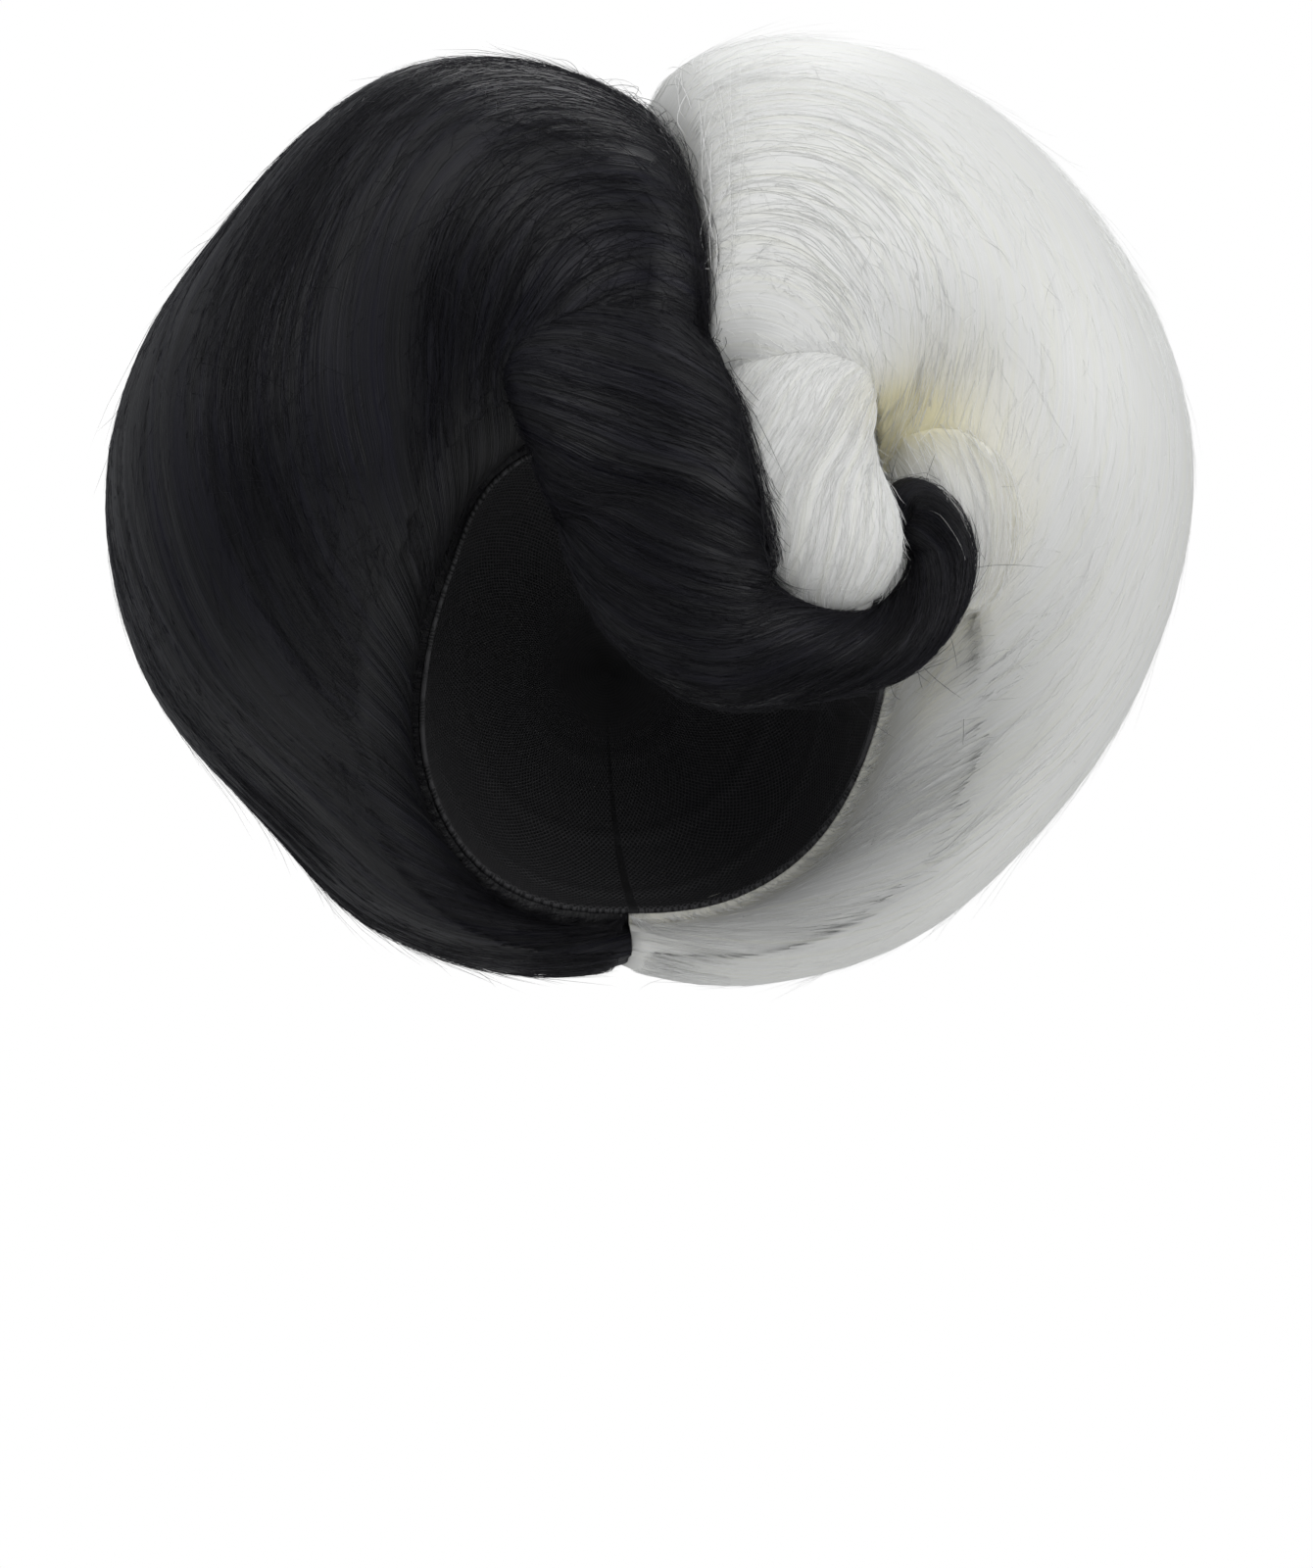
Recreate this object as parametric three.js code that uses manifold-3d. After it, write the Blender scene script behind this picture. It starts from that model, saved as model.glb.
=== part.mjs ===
// A two-tone bouffant wig, in the form it has on a head: a net cap, a black and a white half of
// combed-out hair that meet at a middle parting, a black forelock that sweeps down over the
// forehead and curls up at its tip, a white forelock beside it, and a white lock at the temple.
// Millimetres, +Z up. The face looks along -Y and the wearer's left is +X. The origin is the top
// of the head, inside the cap.
import * as THREE from "three";
import Module from "manifold-3d";

const wasm = await Module();
wasm.setup();

// The head that the cap fits, as a superellipsoid whose top is the origin
const headHalfWidth = 76;
const headHalfLength = 97;
const headHalfHeight = 88;
const headSquareness = 2.3; // 2 is a plain ellipsoid

// The cap, and the gap that touching pieces keep
const capThickness = 1.6;
const pieceGap = 0.3;

// The two halves of the hair, measured from the middle of the head
const hairSideReach = 166;
const hairTopReach = 207;
const hairBottomReach = 105;
const hairBackReach = 150;
const backSquareness = 2.2;
const rollForward = 60; // how far the rolled front edge stands before the hairline
const hairEdgeLift = 5; // thickness of the hair at the hairline, over the head

// The parting: each half rolls in over this width, down by this share of the hair's depth
const partingWidth = 50;
const partingShare = 0.2;

// The three loose locks
const blackForelockWidth = 62;
const blackForelockThickness = 38;
const whiteForelockWidth = 60;
const whiteForelockThickness = 34;
const templeLockWidth = 38;
const templeLockThickness = 30;

// One row for each 22.5 degrees round the face, from the top of the head down to the nape.
// edge is the hairline's angle back from the face, in degrees. crest is where the front roll
// stands furthest forward, as a share of the way from hairline to rim, and forward is how far, as
// a share of rollForward. rim is the outline seen from the front, as a share of an egg through the
// side, top and bottom reaches, and depth its place behind the head's middle, as a share of
// hairBackReach.
const sections = [
  { edge: 47, crestBlack: 0.35, crestWhite: 0.35, forward: 1.05, rimBlack: 0.925, rimWhite: 1, depth: 0.03 },
  { edge: 54, crestBlack: 0.32, crestWhite: 0.34, forward: 1.07, rimBlack: 1.032, rimWhite: 1.062, depth: 0.03 },
  { edge: 64, crestBlack: 0.3, crestWhite: 0.38, forward: 1, rimBlack: 1.012, rimWhite: 1.072, depth: 0.05 },
  { edge: 64, crestBlack: 0.36, crestWhite: 0.46, forward: 0.8, rimBlack: 1.03, rimWhite: 1.069, depth: 0.08 },
  { edge: 76, crestBlack: 0.44, crestWhite: 0.52, forward: 0.66, rimBlack: 0.998, rimWhite: 1.03, depth: 0.13 },
  { edge: 95, crestBlack: 0.5, crestWhite: 0.53, forward: 0.58, rimBlack: 0.936, rimWhite: 1.024, depth: 0.2 },
  { edge: 106, crestBlack: 0.53, crestWhite: 0.54, forward: 0.44, rimBlack: 0.998, rimWhite: 1.07, depth: 0.3 },
  { edge: 114, crestBlack: 0.53, crestWhite: 0.53, forward: 0.26, rimBlack: 1.018, rimWhite: 1.063, depth: 0.4 },
  { edge: 118, crestBlack: 0.5, crestWhite: 0.5, forward: 0.15, rimBlack: 1, rimWhite: 1, depth: 0.46 },
];
const sectionStep = 180 / (sections.length - 1);

// Hollows pressed into a half: where (degrees round the face, share of the way from hairline to
// the back), how wide in the same measures, and how deep as a share of the hair's depth there
const dents = [
  { side: 1, angle: 45, along: 0.12, angleSpan: 12, alongSpan: 0.07, share: 0.42 },
  { side: 1, angle: 60, along: 0.14, angleSpan: 10, alongSpan: 0.04, share: 0.24 },
  { side: 1, angle: 76, along: 0.11, angleSpan: 12, alongSpan: 0.035, share: 0.2 },
  { side: 1, angle: 94, along: 0.08, angleSpan: 13, alongSpan: 0.03, share: 0.16 },
  { side: -1, angle: 40, along: 0.06, angleSpan: 16, alongSpan: 0.06, share: 0.34 },
];

// The way of each loose lock from root to tip. across, forward and up are shares of the head's
// half width, half length and half height from its middle; width and thickness are shares of the
// lock's own. The first row is inside the hair that the lock grows from.
const blackForelockWay = [
  { across: -0.4, forward: 0.86, up: 1.5, width: 0.8, thickness: 0.6 },
  { across: -0.36, forward: 1, up: 1.3, width: 0.98, thickness: 0.9 },
  { across: -0.34, forward: 1.11, up: 1.1, width: 0.98, thickness: 1.05 },
  { across: -0.33, forward: 1.19, up: 0.92, width: 1.02, thickness: 1.08 },
  { across: -0.29, forward: 1.24, up: 0.75, width: 1.06, thickness: 1.05 },
  { across: -0.22, forward: 1.25, up: 0.58, width: 1.02, thickness: 1.03 },
  { across: -0.17, forward: 1.25, up: 0.41, width: 1, thickness: 1 },
  { across: -0.07, forward: 1.24, up: 0.22, width: 0.92, thickness: 0.95 },
  { across: 0.12, forward: 1.22, up: 0.06, width: 0.72, thickness: 0.86 },
  { across: 0.46, forward: 1.19, up: 0.01, width: 0.45, thickness: 0.72 },
  { across: 0.76, forward: 1.12, up: 0.05, width: 0.37, thickness: 0.62 },
  { across: 0.95, forward: 1.05, up: 0.19, width: 0.34, thickness: 0.54 },
  { across: 1.03, forward: 1, up: 0.35, width: 0.33, thickness: 0.5 },
  { across: 0.99, forward: 0.97, up: 0.48, width: 0.34, thickness: 0.5 },
  { across: 0.91, forward: 0.96, up: 0.55, width: 0.3, thickness: 0.46 },
  { across: 0.85, forward: 0.96, up: 0.5, width: 0.2, thickness: 0.34 },
];
const whiteForelockWay = [
  { across: 0.42, forward: 0.78, up: 1.45, width: 0.76, thickness: 0.6 },
  { across: 0.36, forward: 0.92, up: 1.22, width: 0.78, thickness: 0.85 },
  { across: 0.33, forward: 1.03, up: 1.02, width: 0.8, thickness: 0.98 },
  { across: 0.36, forward: 1.12, up: 0.82, width: 0.84, thickness: 1.02 },
  { across: 0.4, forward: 1.14, up: 0.6, width: 0.86, thickness: 1 },
  { across: 0.51, forward: 1.12, up: 0.4, width: 0.84, thickness: 0.92 },
  { across: 0.56, forward: 1.09, up: 0.26, width: 0.66, thickness: 0.75 },
  { across: 0.58, forward: 1.07, up: 0.19, width: 0.36, thickness: 0.5 },
];
const templeLockWay = [
  { across: 0.98, forward: 0.64, up: 0.98, width: 0.5, thickness: 0.6 },
  { across: 1.06, forward: 0.75, up: 0.82, width: 0.85, thickness: 0.9 },
  { across: 1.12, forward: 0.79, up: 0.64, width: 1, thickness: 1 },
  { across: 1.13, forward: 0.77, up: 0.47, width: 0.98, thickness: 1 },
  { across: 1.09, forward: 0.68, up: 0.32, width: 0.8, thickness: 0.84 },
  { across: 1.03, forward: 0.56, up: 0.2, width: 0.55, thickness: 0.58 },
  { across: 0.97, forward: 0.44, up: 0.11, width: 0.3, thickness: 0.34 },
];

const lockLean = 0.35; // how far a lock's face turns sideways with the head
const lockTipShare = 0.3; // length of a lock's rounded end, as a share of its width there

// How finely the solids are faceted
const roundSteps = 26;
const roundCrowding = 0.86; // packs the steps towards the parting, where the form turns fastest
const frontSteps = 5;
const faceSteps = 7;
const backSteps = 9;
const scalpSteps = 13;
const lockSteps = 26;
const lockSides = 14;

// Where a half's outer skin passes its crest and its rim, along its way from 0 to 1
const crestAlong = 0.2;
const rimAlong = 0.5;

const headMiddle = new THREE.Vector3(0, 0, -headHalfHeight);
const quarterTurn = Math.PI / 2;
const radians = THREE.MathUtils.degToRad;

// A smooth curve through one column of the section table, level at both ends
function sectionValue(column, angle) {
  const place = THREE.MathUtils.clamp(angle / sectionStep, 0, sections.length - 1);
  const row = Math.min(Math.floor(place), sections.length - 2);
  const last = sections.length - 1;
  const reflect = (i) => (i < 0 ? -i : i > last ? 2 * last - i : i);
  const [a, b, c, d] = [-1, 0, 1, 2].map((step) => sections[reflect(row + step)][column]);
  const t = place - row;
  return b + 0.5 * t * (c - a + t * (2 * a - 5 * b + 4 * c - d + t * (3 * (b - c) + d - a)));
}

// The head's radius along a unit direction, with its surface moved out by lift
function headReach(direction, lift) {
  const term = (value, half) => Math.pow(Math.abs(value) / (half + lift), headSquareness);
  const sum =
    term(direction.x, headHalfWidth) + term(direction.y, headHalfLength) + term(direction.z, headHalfHeight);
  return Math.pow(sum, -1 / headSquareness);
}

// A point from its side (-1 or 1), its angle round the face, its distance out from the line
// through the middle of the head, and its depth behind that middle
function placed(side, angle, radius, depth) {
  const turn = radians(angle);
  return new THREE.Vector3(side * radius * Math.sin(turn), depth, headMiddle.z + radius * Math.cos(turn));
}

// A point on the head at an angle round the face, turned back from the face by some degrees
function onHead(side, angle, turnedBack, lift) {
  const direction = placed(side, angle, Math.sin(radians(turnedBack)), -Math.cos(radians(turnedBack)));
  direction.z -= headMiddle.z;
  return direction.clone().multiplyScalar(headReach(direction, lift)).add(headMiddle);
}

// How strongly the dents press at a place on one half
function dentShare(side, angle, along) {
  let kept = 1;
  for (const dent of dents) {
    if (dent.side !== side) continue;
    const a = (angle - dent.angle) / dent.angleSpan;
    const b = (along - dent.along) / dent.alongSpan;
    kept *= 1 - dent.share * Math.exp(-a * a - b * b);
  }
  return 1 - kept;
}

// The egg through the top, side and bottom reaches: a round that stands above the head's middle by
// half the difference of top and bottom, and is widened at the sides
function eggReach(turn) {
  const middleReach = (hairTopReach + hairBottomReach) / 2;
  const raised = ((hairTopReach - hairBottomReach) / 2) * Math.cos(turn);
  return (middleReach + raised) * (1 + (hairSideReach / middleReach - 1) * Math.sin(turn) ** 2);
}

// The outer skin of one half: a section of three quarter ellipses, from the hairline forward to
// the crest, from the crest out to the rim, and from the rim round to the back of the head. It is
// then drawn in towards the head along the parting and at the dents.
function skinPoint(side, angle, along) {
  const column = side < 0 ? "Black" : "White";
  const turn = radians(angle);
  const edge = onHead(side, angle, sectionValue("edge", angle), hairEdgeLift);
  const edgeRadius = Math.hypot(edge.x, edge.z - headMiddle.z);
  const rimRadius = eggReach(turn) * sectionValue("rim" + column, angle);
  const rimDepth = hairBackReach * sectionValue("depth", angle);
  const crestRadius = edgeRadius + (rimRadius - edgeRadius) * sectionValue("crest" + column, angle);
  const crestDepth = edge.y - rollForward * sectionValue("forward", angle);
  let radius, depth;
  if (along <= crestAlong) {
    const t = (quarterTurn * along) / crestAlong;
    radius = crestRadius - (crestRadius - edgeRadius) * Math.cos(t);
    depth = edge.y - (edge.y - crestDepth) * Math.sin(t);
  } else if (along <= rimAlong) {
    const t = (quarterTurn * (along - crestAlong)) / (rimAlong - crestAlong);
    radius = crestRadius + (rimRadius - crestRadius) * Math.sin(t);
    depth = rimDepth - (rimDepth - crestDepth) * Math.cos(t);
  } else {
    const t = (quarterTurn * (along - rimAlong)) / (1 - rimAlong);
    radius = rimRadius * Math.pow(Math.max(Math.cos(t), 0), 2 / backSquareness);
    depth = rimDepth + (hairBackReach - rimDepth) * Math.pow(Math.sin(t), 2 / backSquareness);
    if (along >= 1) radius = 0;
  }
  const point = placed(side, angle, radius, depth).sub(headMiddle);
  const fromParting = Math.min(Math.abs(point.x) / partingWidth, 1);
  const parting = partingShare * (1 - Math.sqrt(1 - (1 - fromParting) ** 2));
  const pressed = 1 - (1 - parting) * (1 - dentShare(side, angle, along));
  const distance = point.length();
  const direction = point.clone().divideScalar(distance);
  const hairDepth = Math.max(distance - headReach(direction, hairEdgeLift), 0);
  return direction.multiplyScalar(distance - hairDepth * pressed).add(headMiddle);
}

// Steps from 0 to 180 degrees round the face, close together at the parting and at the nape
const roundAngles = Array.from({ length: roundSteps + 1 }, (_, i) => {
  const t = i / roundSteps;
  return 180 * (t - (roundCrowding * Math.sin(2 * Math.PI * t)) / (2 * Math.PI));
});

// Steps along the outer skin, from hairline to the back of the head
const alongSteps = [
  ...Array.from({ length: frontSteps }, (_, i) => (crestAlong * i) / frontSteps),
  ...Array.from({ length: faceSteps }, (_, i) => crestAlong + ((rimAlong - crestAlong) * i) / faceSteps),
  ...Array.from({ length: backSteps + 1 }, (_, i) => rimAlong + ((1 - rimAlong) * i) / backSteps),
];

// A row of points on the head from the hairline to the back, at some height over the head
function scalpRow(side, angle, lift) {
  const start = sectionValue("edge", angle);
  return Array.from({ length: scalpSteps + 1 }, (_, i) =>
    onHead(side, angle, start + ((180 - start) * i) / scalpSteps, lift),
  );
}

// Triangles collected from rows of points, then merged where points coincide
class Skin {
  constructor() {
    this.corners = [];
  }
  triangle(a, b, c) {
    this.corners.push(a, b, c);
  }
  // The quads between neighbouring rows; flipped turns them to face the other way
  rows(rows, flipped) {
    for (let i = 0; i + 1 < rows.length; i++)
      for (let j = 0; j + 1 < rows[i].length; j++) {
        const [a, b, c, d] = [rows[i][j], rows[i + 1][j], rows[i + 1][j + 1], rows[i][j + 1]];
        if (flipped) {
          this.triangle(a, c, b);
          this.triangle(a, d, c);
        } else {
          this.triangle(a, b, c);
          this.triangle(a, c, d);
        }
      }
  }
  // A flat wall inside a loop of points that all have one x, facing as the loop runs
  wall(loop) {
    const flat = loop.map((p) => new THREE.Vector2(p.y, p.z));
    const turning = Math.sign(THREE.ShapeUtils.area(flat));
    for (const [a, b, c] of THREE.ShapeUtils.triangulateShape(flat, [])) {
      const same = Math.sign(THREE.ShapeUtils.area([flat[a], flat[b], flat[c]])) === turning;
      this.triangle(loop[a], loop[same ? b : c], loop[same ? c : b]);
    }
  }
  solid() {
    const places = new Map();
    const vertices = [];
    const indices = this.corners.map((p) => {
      const key = [p.x, p.y, p.z].map((value) => Math.round(value * 1000)).join();
      if (!places.has(key)) {
        places.set(key, vertices.length / 3);
        vertices.push(p.x, p.y, p.z);
      }
      return places.get(key);
    });
    const faces = [];
    for (let i = 0; i < indices.length; i += 3) {
      const [a, b, c] = indices.slice(i, i + 3);
      if (a !== b && b !== c && c !== a) faces.push(a, b, c);
    }
    const build = () =>
      new wasm.Manifold(
        new wasm.Mesh({
          numProp: 3,
          vertProperties: new Float32Array(vertices),
          triVerts: new Uint32Array(faces),
        }),
      );
    const made = build();
    if (made.volume() > 0) return made;
    for (let i = 0; i < faces.length; i += 3) [faces[i + 1], faces[i + 2]] = [faces[i + 2], faces[i + 1]];
    return build();
  }
}

// One half of the hair, closed by the scalp side, the hairline edge and two walls at the parting
function hairHalf(side) {
  const aside = new THREE.Vector3((side * pieceGap) / 2, 0, 0);
  const angles = side < 0 ? roundAngles : [...roundAngles].reverse(); // as the cap runs, for like facets
  const outer = angles.map((angle) => alongSteps.map((along) => skinPoint(side, angle, along).add(aside)));
  const inner = angles.map((angle) =>
    scalpRow(side, angle, capThickness + pieceGap).map((point) => point.add(aside)),
  );
  for (const rows of [outer, inner])
    for (const row of [rows[0], rows[roundSteps]]) for (const point of row) point.x = aside.x;
  const skin = new Skin();
  skin.rows(outer, false);
  skin.rows(inner, true);
  skin.rows(
    outer.map((row, i) => [inner[i][0], row[0]]),
    false,
  );
  skin.wall([...outer[0], ...[...inner[0]].reverse()]);
  skin.wall([...inner[roundSteps], ...[...outer[roundSteps]].reverse()]);
  return skin.solid();
}

// All angles round the head: down the black side and back up the white side
const wholeRound = [
  ...roundAngles.map((angle) => [-1, angle]),
  ...[...roundAngles].reverse().map((angle) => [1, angle]),
];

// The net cap: a thin shell over the head from the hairline back
function capShell() {
  const rows = (lift) => wholeRound.map(([side, angle]) => scalpRow(side, angle, lift));
  const outer = rows(capThickness);
  const inner = rows(0);
  const skin = new Skin();
  skin.rows(outer, false);
  skin.rows(inner, true);
  skin.rows(
    outer.map((row, i) => [inner[i][0], row[0]]),
    false,
  );
  return skin.solid();
}

// The whole head as a solid, moved out by lift, to keep the loose locks clear of the cap
function headSolid(lift) {
  const rows = wholeRound.map(([side, angle]) =>
    Array.from({ length: scalpSteps + 1 }, (_, i) => onHead(side, angle, (180 * i) / scalpSteps, lift)),
  );
  const skin = new Skin();
  skin.rows(rows, false);
  return skin.solid();
}

// A loose lock: oval sections along a smooth curve through the rows of its way, with their wide
// side turned to face away from the head. grow makes it that much fatter all round.
function lock(way, fullWidth, fullThickness, grow) {
  const centres = way.map(
    (row) =>
      new THREE.Vector3(
        row.across * headHalfWidth,
        -row.forward * headHalfLength,
        headMiddle.z + row.up * headHalfHeight,
      ),
  );
  const sizes = way.map((row) => new THREE.Vector3(row.width * fullWidth, row.thickness * fullThickness, 0));
  const centreLine = new THREE.CatmullRomCurve3(centres, false, "catmullrom", 0.5);
  const sizeLine = new THREE.CatmullRomCurve3(sizes, false, "catmullrom", 0.5);
  const ring = (t) => {
    const centre = centreLine.getPoint(t);
    const size = sizeLine.getPoint(t);
    const ahead = centreLine.getTangent(t);
    const outward = new THREE.Vector3(centre.x * lockLean, centre.y, 0).normalize();
    const wide = new THREE.Vector3().crossVectors(ahead, outward).normalize();
    const thick = new THREE.Vector3().crossVectors(wide, ahead).normalize();
    return Array.from({ length: lockSides + 1 }, (_, k) => {
      const turn = (2 * Math.PI * (k % lockSides)) / lockSides;
      return centre
        .clone()
        .addScaledVector(wide, Math.cos(turn) * (size.x / 2 + grow))
        .addScaledVector(thick, Math.sin(turn) * (size.y / 2 + grow));
    });
  };
  const rings = Array.from({ length: lockSteps + 1 }, (_, i) => ring(i / lockSteps));
  const endPoint = (t, step) => {
    const middle = centreLine.getPoint(t);
    const size = sizeLine.getPoint(t);
    return middle.addScaledVector(centreLine.getTangent(t), step * (size.x * lockTipShare + grow));
  };
  const start = endPoint(0, -1);
  const end = endPoint(1, 1);
  const skin = new Skin();
  skin.rows([rings[0].map(() => start), ...rings, rings[0].map(() => end)], false);
  return skin.solid();
}

// The largest piece of a solid, without the crumbs that a cut can leave
function mainPiece(solid) {
  return solid.decompose().reduce((best, piece) => (piece.volume() > best.volume() ? piece : best));
}

function meshOf(name, solid, material) {
  const { numProp, vertProperties, triVerts, numVert } = solid.getMesh();
  const positions = new Float32Array(numVert * 3);
  for (let i = 0; i < numVert; i++) positions.set(vertProperties.subarray(i * numProp, i * numProp + 3), i * 3);
  const geometry = new THREE.BufferGeometry();
  geometry.setAttribute("position", new THREE.BufferAttribute(positions, 3));
  geometry.setIndex(new THREE.BufferAttribute(new Uint32Array(triVerts), 1));
  geometry.computeVertexNormals();
  const mesh = new THREE.Mesh(geometry, material);
  mesh.name = name;
  return mesh;
}

const blackHair = new THREE.MeshStandardMaterial({ color: 0x17171c, roughness: 0.45, metalness: 0 });
const whiteHair = new THREE.MeshStandardMaterial({ color: 0xeeeee6, roughness: 0.5, metalness: 0 });
const capNet = new THREE.MeshStandardMaterial({ color: 0x2a2a2e, roughness: 0.9, metalness: 0 });

// Each lock nests in what lies behind it: the piece behind is cut by the lock made a gap fatter
const blackForelock = (grow) => lock(blackForelockWay, blackForelockWidth, blackForelockThickness, grow);
const whiteForelock = (grow) => lock(whiteForelockWay, whiteForelockWidth, whiteForelockThickness, grow);
const templeLock = (grow) => lock(templeLockWay, templeLockWidth, templeLockThickness, grow);
const keepOut = headSolid(capThickness + pieceGap);

const blackForelockSolid = mainPiece(blackForelock(0).subtract(keepOut));
const whiteForelockSolid = mainPiece(whiteForelock(0).subtract(blackForelock(pieceGap)).subtract(keepOut));
const templeLockSolid = mainPiece(
  templeLock(0).subtract(blackForelock(pieceGap)).subtract(whiteForelock(pieceGap)).subtract(keepOut),
);
const cutByLocks = (half) =>
  mainPiece(
    half.subtract(blackForelock(pieceGap)).subtract(whiteForelock(pieceGap)).subtract(templeLock(pieceGap)),
  );

const wig = new THREE.Group();
wig.add(
  meshOf("wig_cap", capShell(), capNet),
  meshOf("black_bouffant", cutByLocks(hairHalf(-1)), blackHair),
  meshOf("white_bouffant", cutByLocks(hairHalf(1)), whiteHair),
  meshOf("black_forelock", blackForelockSolid, blackHair),
  meshOf("white_forelock", whiteForelockSolid, whiteHair),
  meshOf("white_temple_lock", templeLockSolid, whiteHair),
);

export default wig;
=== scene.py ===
# %% [markdown]
# A two-tone bouffant wig: a net cap that carries a black and a white half of combed-out hair, two
# forelocks that sweep over the forehead and a lock at the temple. The CAD model holds their sizes
# and places. This script dresses it: each mass of hair is remade as a surface whose grid lines run
# the way the hair is combed, so that ridges, streaks and single strands can all follow one flow.

# %% Load the frame
import math

import bmesh
import bpy
import numpy as np
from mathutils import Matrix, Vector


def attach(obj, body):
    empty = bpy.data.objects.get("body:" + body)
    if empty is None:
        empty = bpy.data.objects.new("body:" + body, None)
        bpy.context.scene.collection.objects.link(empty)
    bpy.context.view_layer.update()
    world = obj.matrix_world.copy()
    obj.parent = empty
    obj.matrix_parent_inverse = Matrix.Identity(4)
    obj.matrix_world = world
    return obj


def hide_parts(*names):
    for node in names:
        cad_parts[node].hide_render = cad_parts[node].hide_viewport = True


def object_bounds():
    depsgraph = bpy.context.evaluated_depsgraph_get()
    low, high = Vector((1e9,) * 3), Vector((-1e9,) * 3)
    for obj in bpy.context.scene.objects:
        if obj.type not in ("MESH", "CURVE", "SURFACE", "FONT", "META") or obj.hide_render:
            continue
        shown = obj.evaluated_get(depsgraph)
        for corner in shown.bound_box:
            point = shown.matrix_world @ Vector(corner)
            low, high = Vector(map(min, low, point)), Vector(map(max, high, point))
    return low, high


mm = 0.001
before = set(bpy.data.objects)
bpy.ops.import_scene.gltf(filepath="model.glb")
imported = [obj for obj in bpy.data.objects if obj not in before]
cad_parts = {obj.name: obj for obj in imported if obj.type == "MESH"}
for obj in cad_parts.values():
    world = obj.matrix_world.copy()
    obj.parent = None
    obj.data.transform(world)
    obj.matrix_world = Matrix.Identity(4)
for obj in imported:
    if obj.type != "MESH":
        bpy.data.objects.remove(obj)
cad_low, cad_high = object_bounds()
print("CAD box", [round(v, 4) for v in cad_low], [round(v, 4) for v in cad_high])

# %% [markdown]
# The camera comes first, because everything is judged through it. The photograph was taken level
# with the eyes, from a little over a metre and a half, with the head turned nine degrees. A long
# lens from that distance gives the same mild perspective.

# %% Camera
camera_distance = 1600 * mm
camera_turn = math.radians(-9)
camera_height = -127 * mm
camera_aside = 2.6 * mm
seen_height = 520 * mm  # what the picture takes in, from bottom to top, at the distance of the head

camera_data = bpy.data.cameras.new("photo_camera")
camera_data.sensor_width = 36.0
camera_data.lens = camera_data.sensor_width * camera_distance / seen_height
camera_data.clip_start = 0.05
camera_data.clip_end = 20.0
camera = bpy.data.objects.new("photo_camera", camera_data)
bpy.context.collection.objects.link(camera)
camera.location = (
    camera_aside * math.cos(camera_turn) + camera_distance * math.sin(camera_turn),
    camera_aside * math.sin(camera_turn) - camera_distance * math.cos(camera_turn),
    camera_height,
)
camera.rotation_euler = (math.radians(90), 0, camera_turn)
bpy.context.scene.camera = camera
print("camera lens in mm", round(camera_data.lens, 1))

# %% [markdown]
# A wig like this is photographed on white with large soft lamps: one high on the left, one on the
# right and one from above and behind that draws the outline. Area lights of about a metre give
# such soft edges. The world is white to the camera and dimmer as a light, more so from below, so
# that white hair keeps its shading in front of a white ground.

# %% Light and floor


def add_node(tree, kind, inputs=None, **settings):
    """A shader node with some settings. Each of its inputs is given a value, or a socket to link."""
    node = tree.nodes.new("ShaderNode" + kind)
    for name, value in settings.items():
        setattr(node, name, value)
    for key, value in (inputs or {}).items():
        if isinstance(value, bpy.types.NodeSocket):
            tree.links.new(value, node.inputs[key])
        else:
            node.inputs[key].default_value = value
    return node


def new_material(name, **fixed):
    """A material, its node tree and its shader's inputs, with fixed values for some of those."""
    material = bpy.data.materials.new(name)
    material.use_nodes = True
    inputs = material.node_tree.nodes["Principled BSDF"].inputs
    for label, value in fixed.items():
        inputs[label.replace("_", " ").title().replace("Ior", "IOR")].default_value = value
    return material, material.node_tree, inputs


world = bpy.data.worlds.new("studio")
world.use_nodes = True
bpy.context.scene.world = world
room = world.node_tree
room.nodes.clear()
sky = add_node(room, "SeparateXYZ", {0: add_node(room, "TexCoord").outputs["Generated"]})
strength_range = {"From Min": -1, "From Max": 1, "To Min": 0.27, "To Max": 0.5}
strength = add_node(room, "MapRange", {"Value": sky.outputs["Z"], **strength_range})
cool_white, plain_white = (0.95, 0.97, 1, 1), (1, 1, 1, 1)
room_light = add_node(room, "Background", {"Color": cool_white, "Strength": strength.outputs["Result"]})
white_ground = add_node(room, "Background", {"Color": plain_white, "Strength": 1})
world_mix = add_node(room, "MixShader", {
    0: add_node(room, "LightPath").outputs["Is Camera Ray"],
    1: room_light.outputs["Background"],
    2: white_ground.outputs["Background"],
})
add_node(room, "OutputWorld", {"Surface": world_mix.outputs["Shader"]})
bpy.context.scene.view_settings.view_transform = "Standard"


lamp_aim = (0, 0, -90 * mm)


def soft_lamp(name, place, size, watts):
    """A square area light at a place, aimed at the middle of the head."""
    data = bpy.data.lights.new(name, "AREA")
    data.size = size
    data.energy = watts
    lamp = bpy.data.objects.new(name, data)
    bpy.context.collection.objects.link(lamp)
    lamp.location = place
    aim = Vector(lamp_aim) - lamp.location
    lamp.rotation_euler = aim.to_track_quat("-Z", "Y").to_euler()


soft_lamp("key_lamp", (-0.8, -1.15, 1.25), 1.4, 15)
soft_lamp("fill_lamp", (1.35, -1.15, 0.35), 1.2, 14)
soft_lamp("back_lamp", (0.2, 1.2, 1.35), 0.9, 10)

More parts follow.
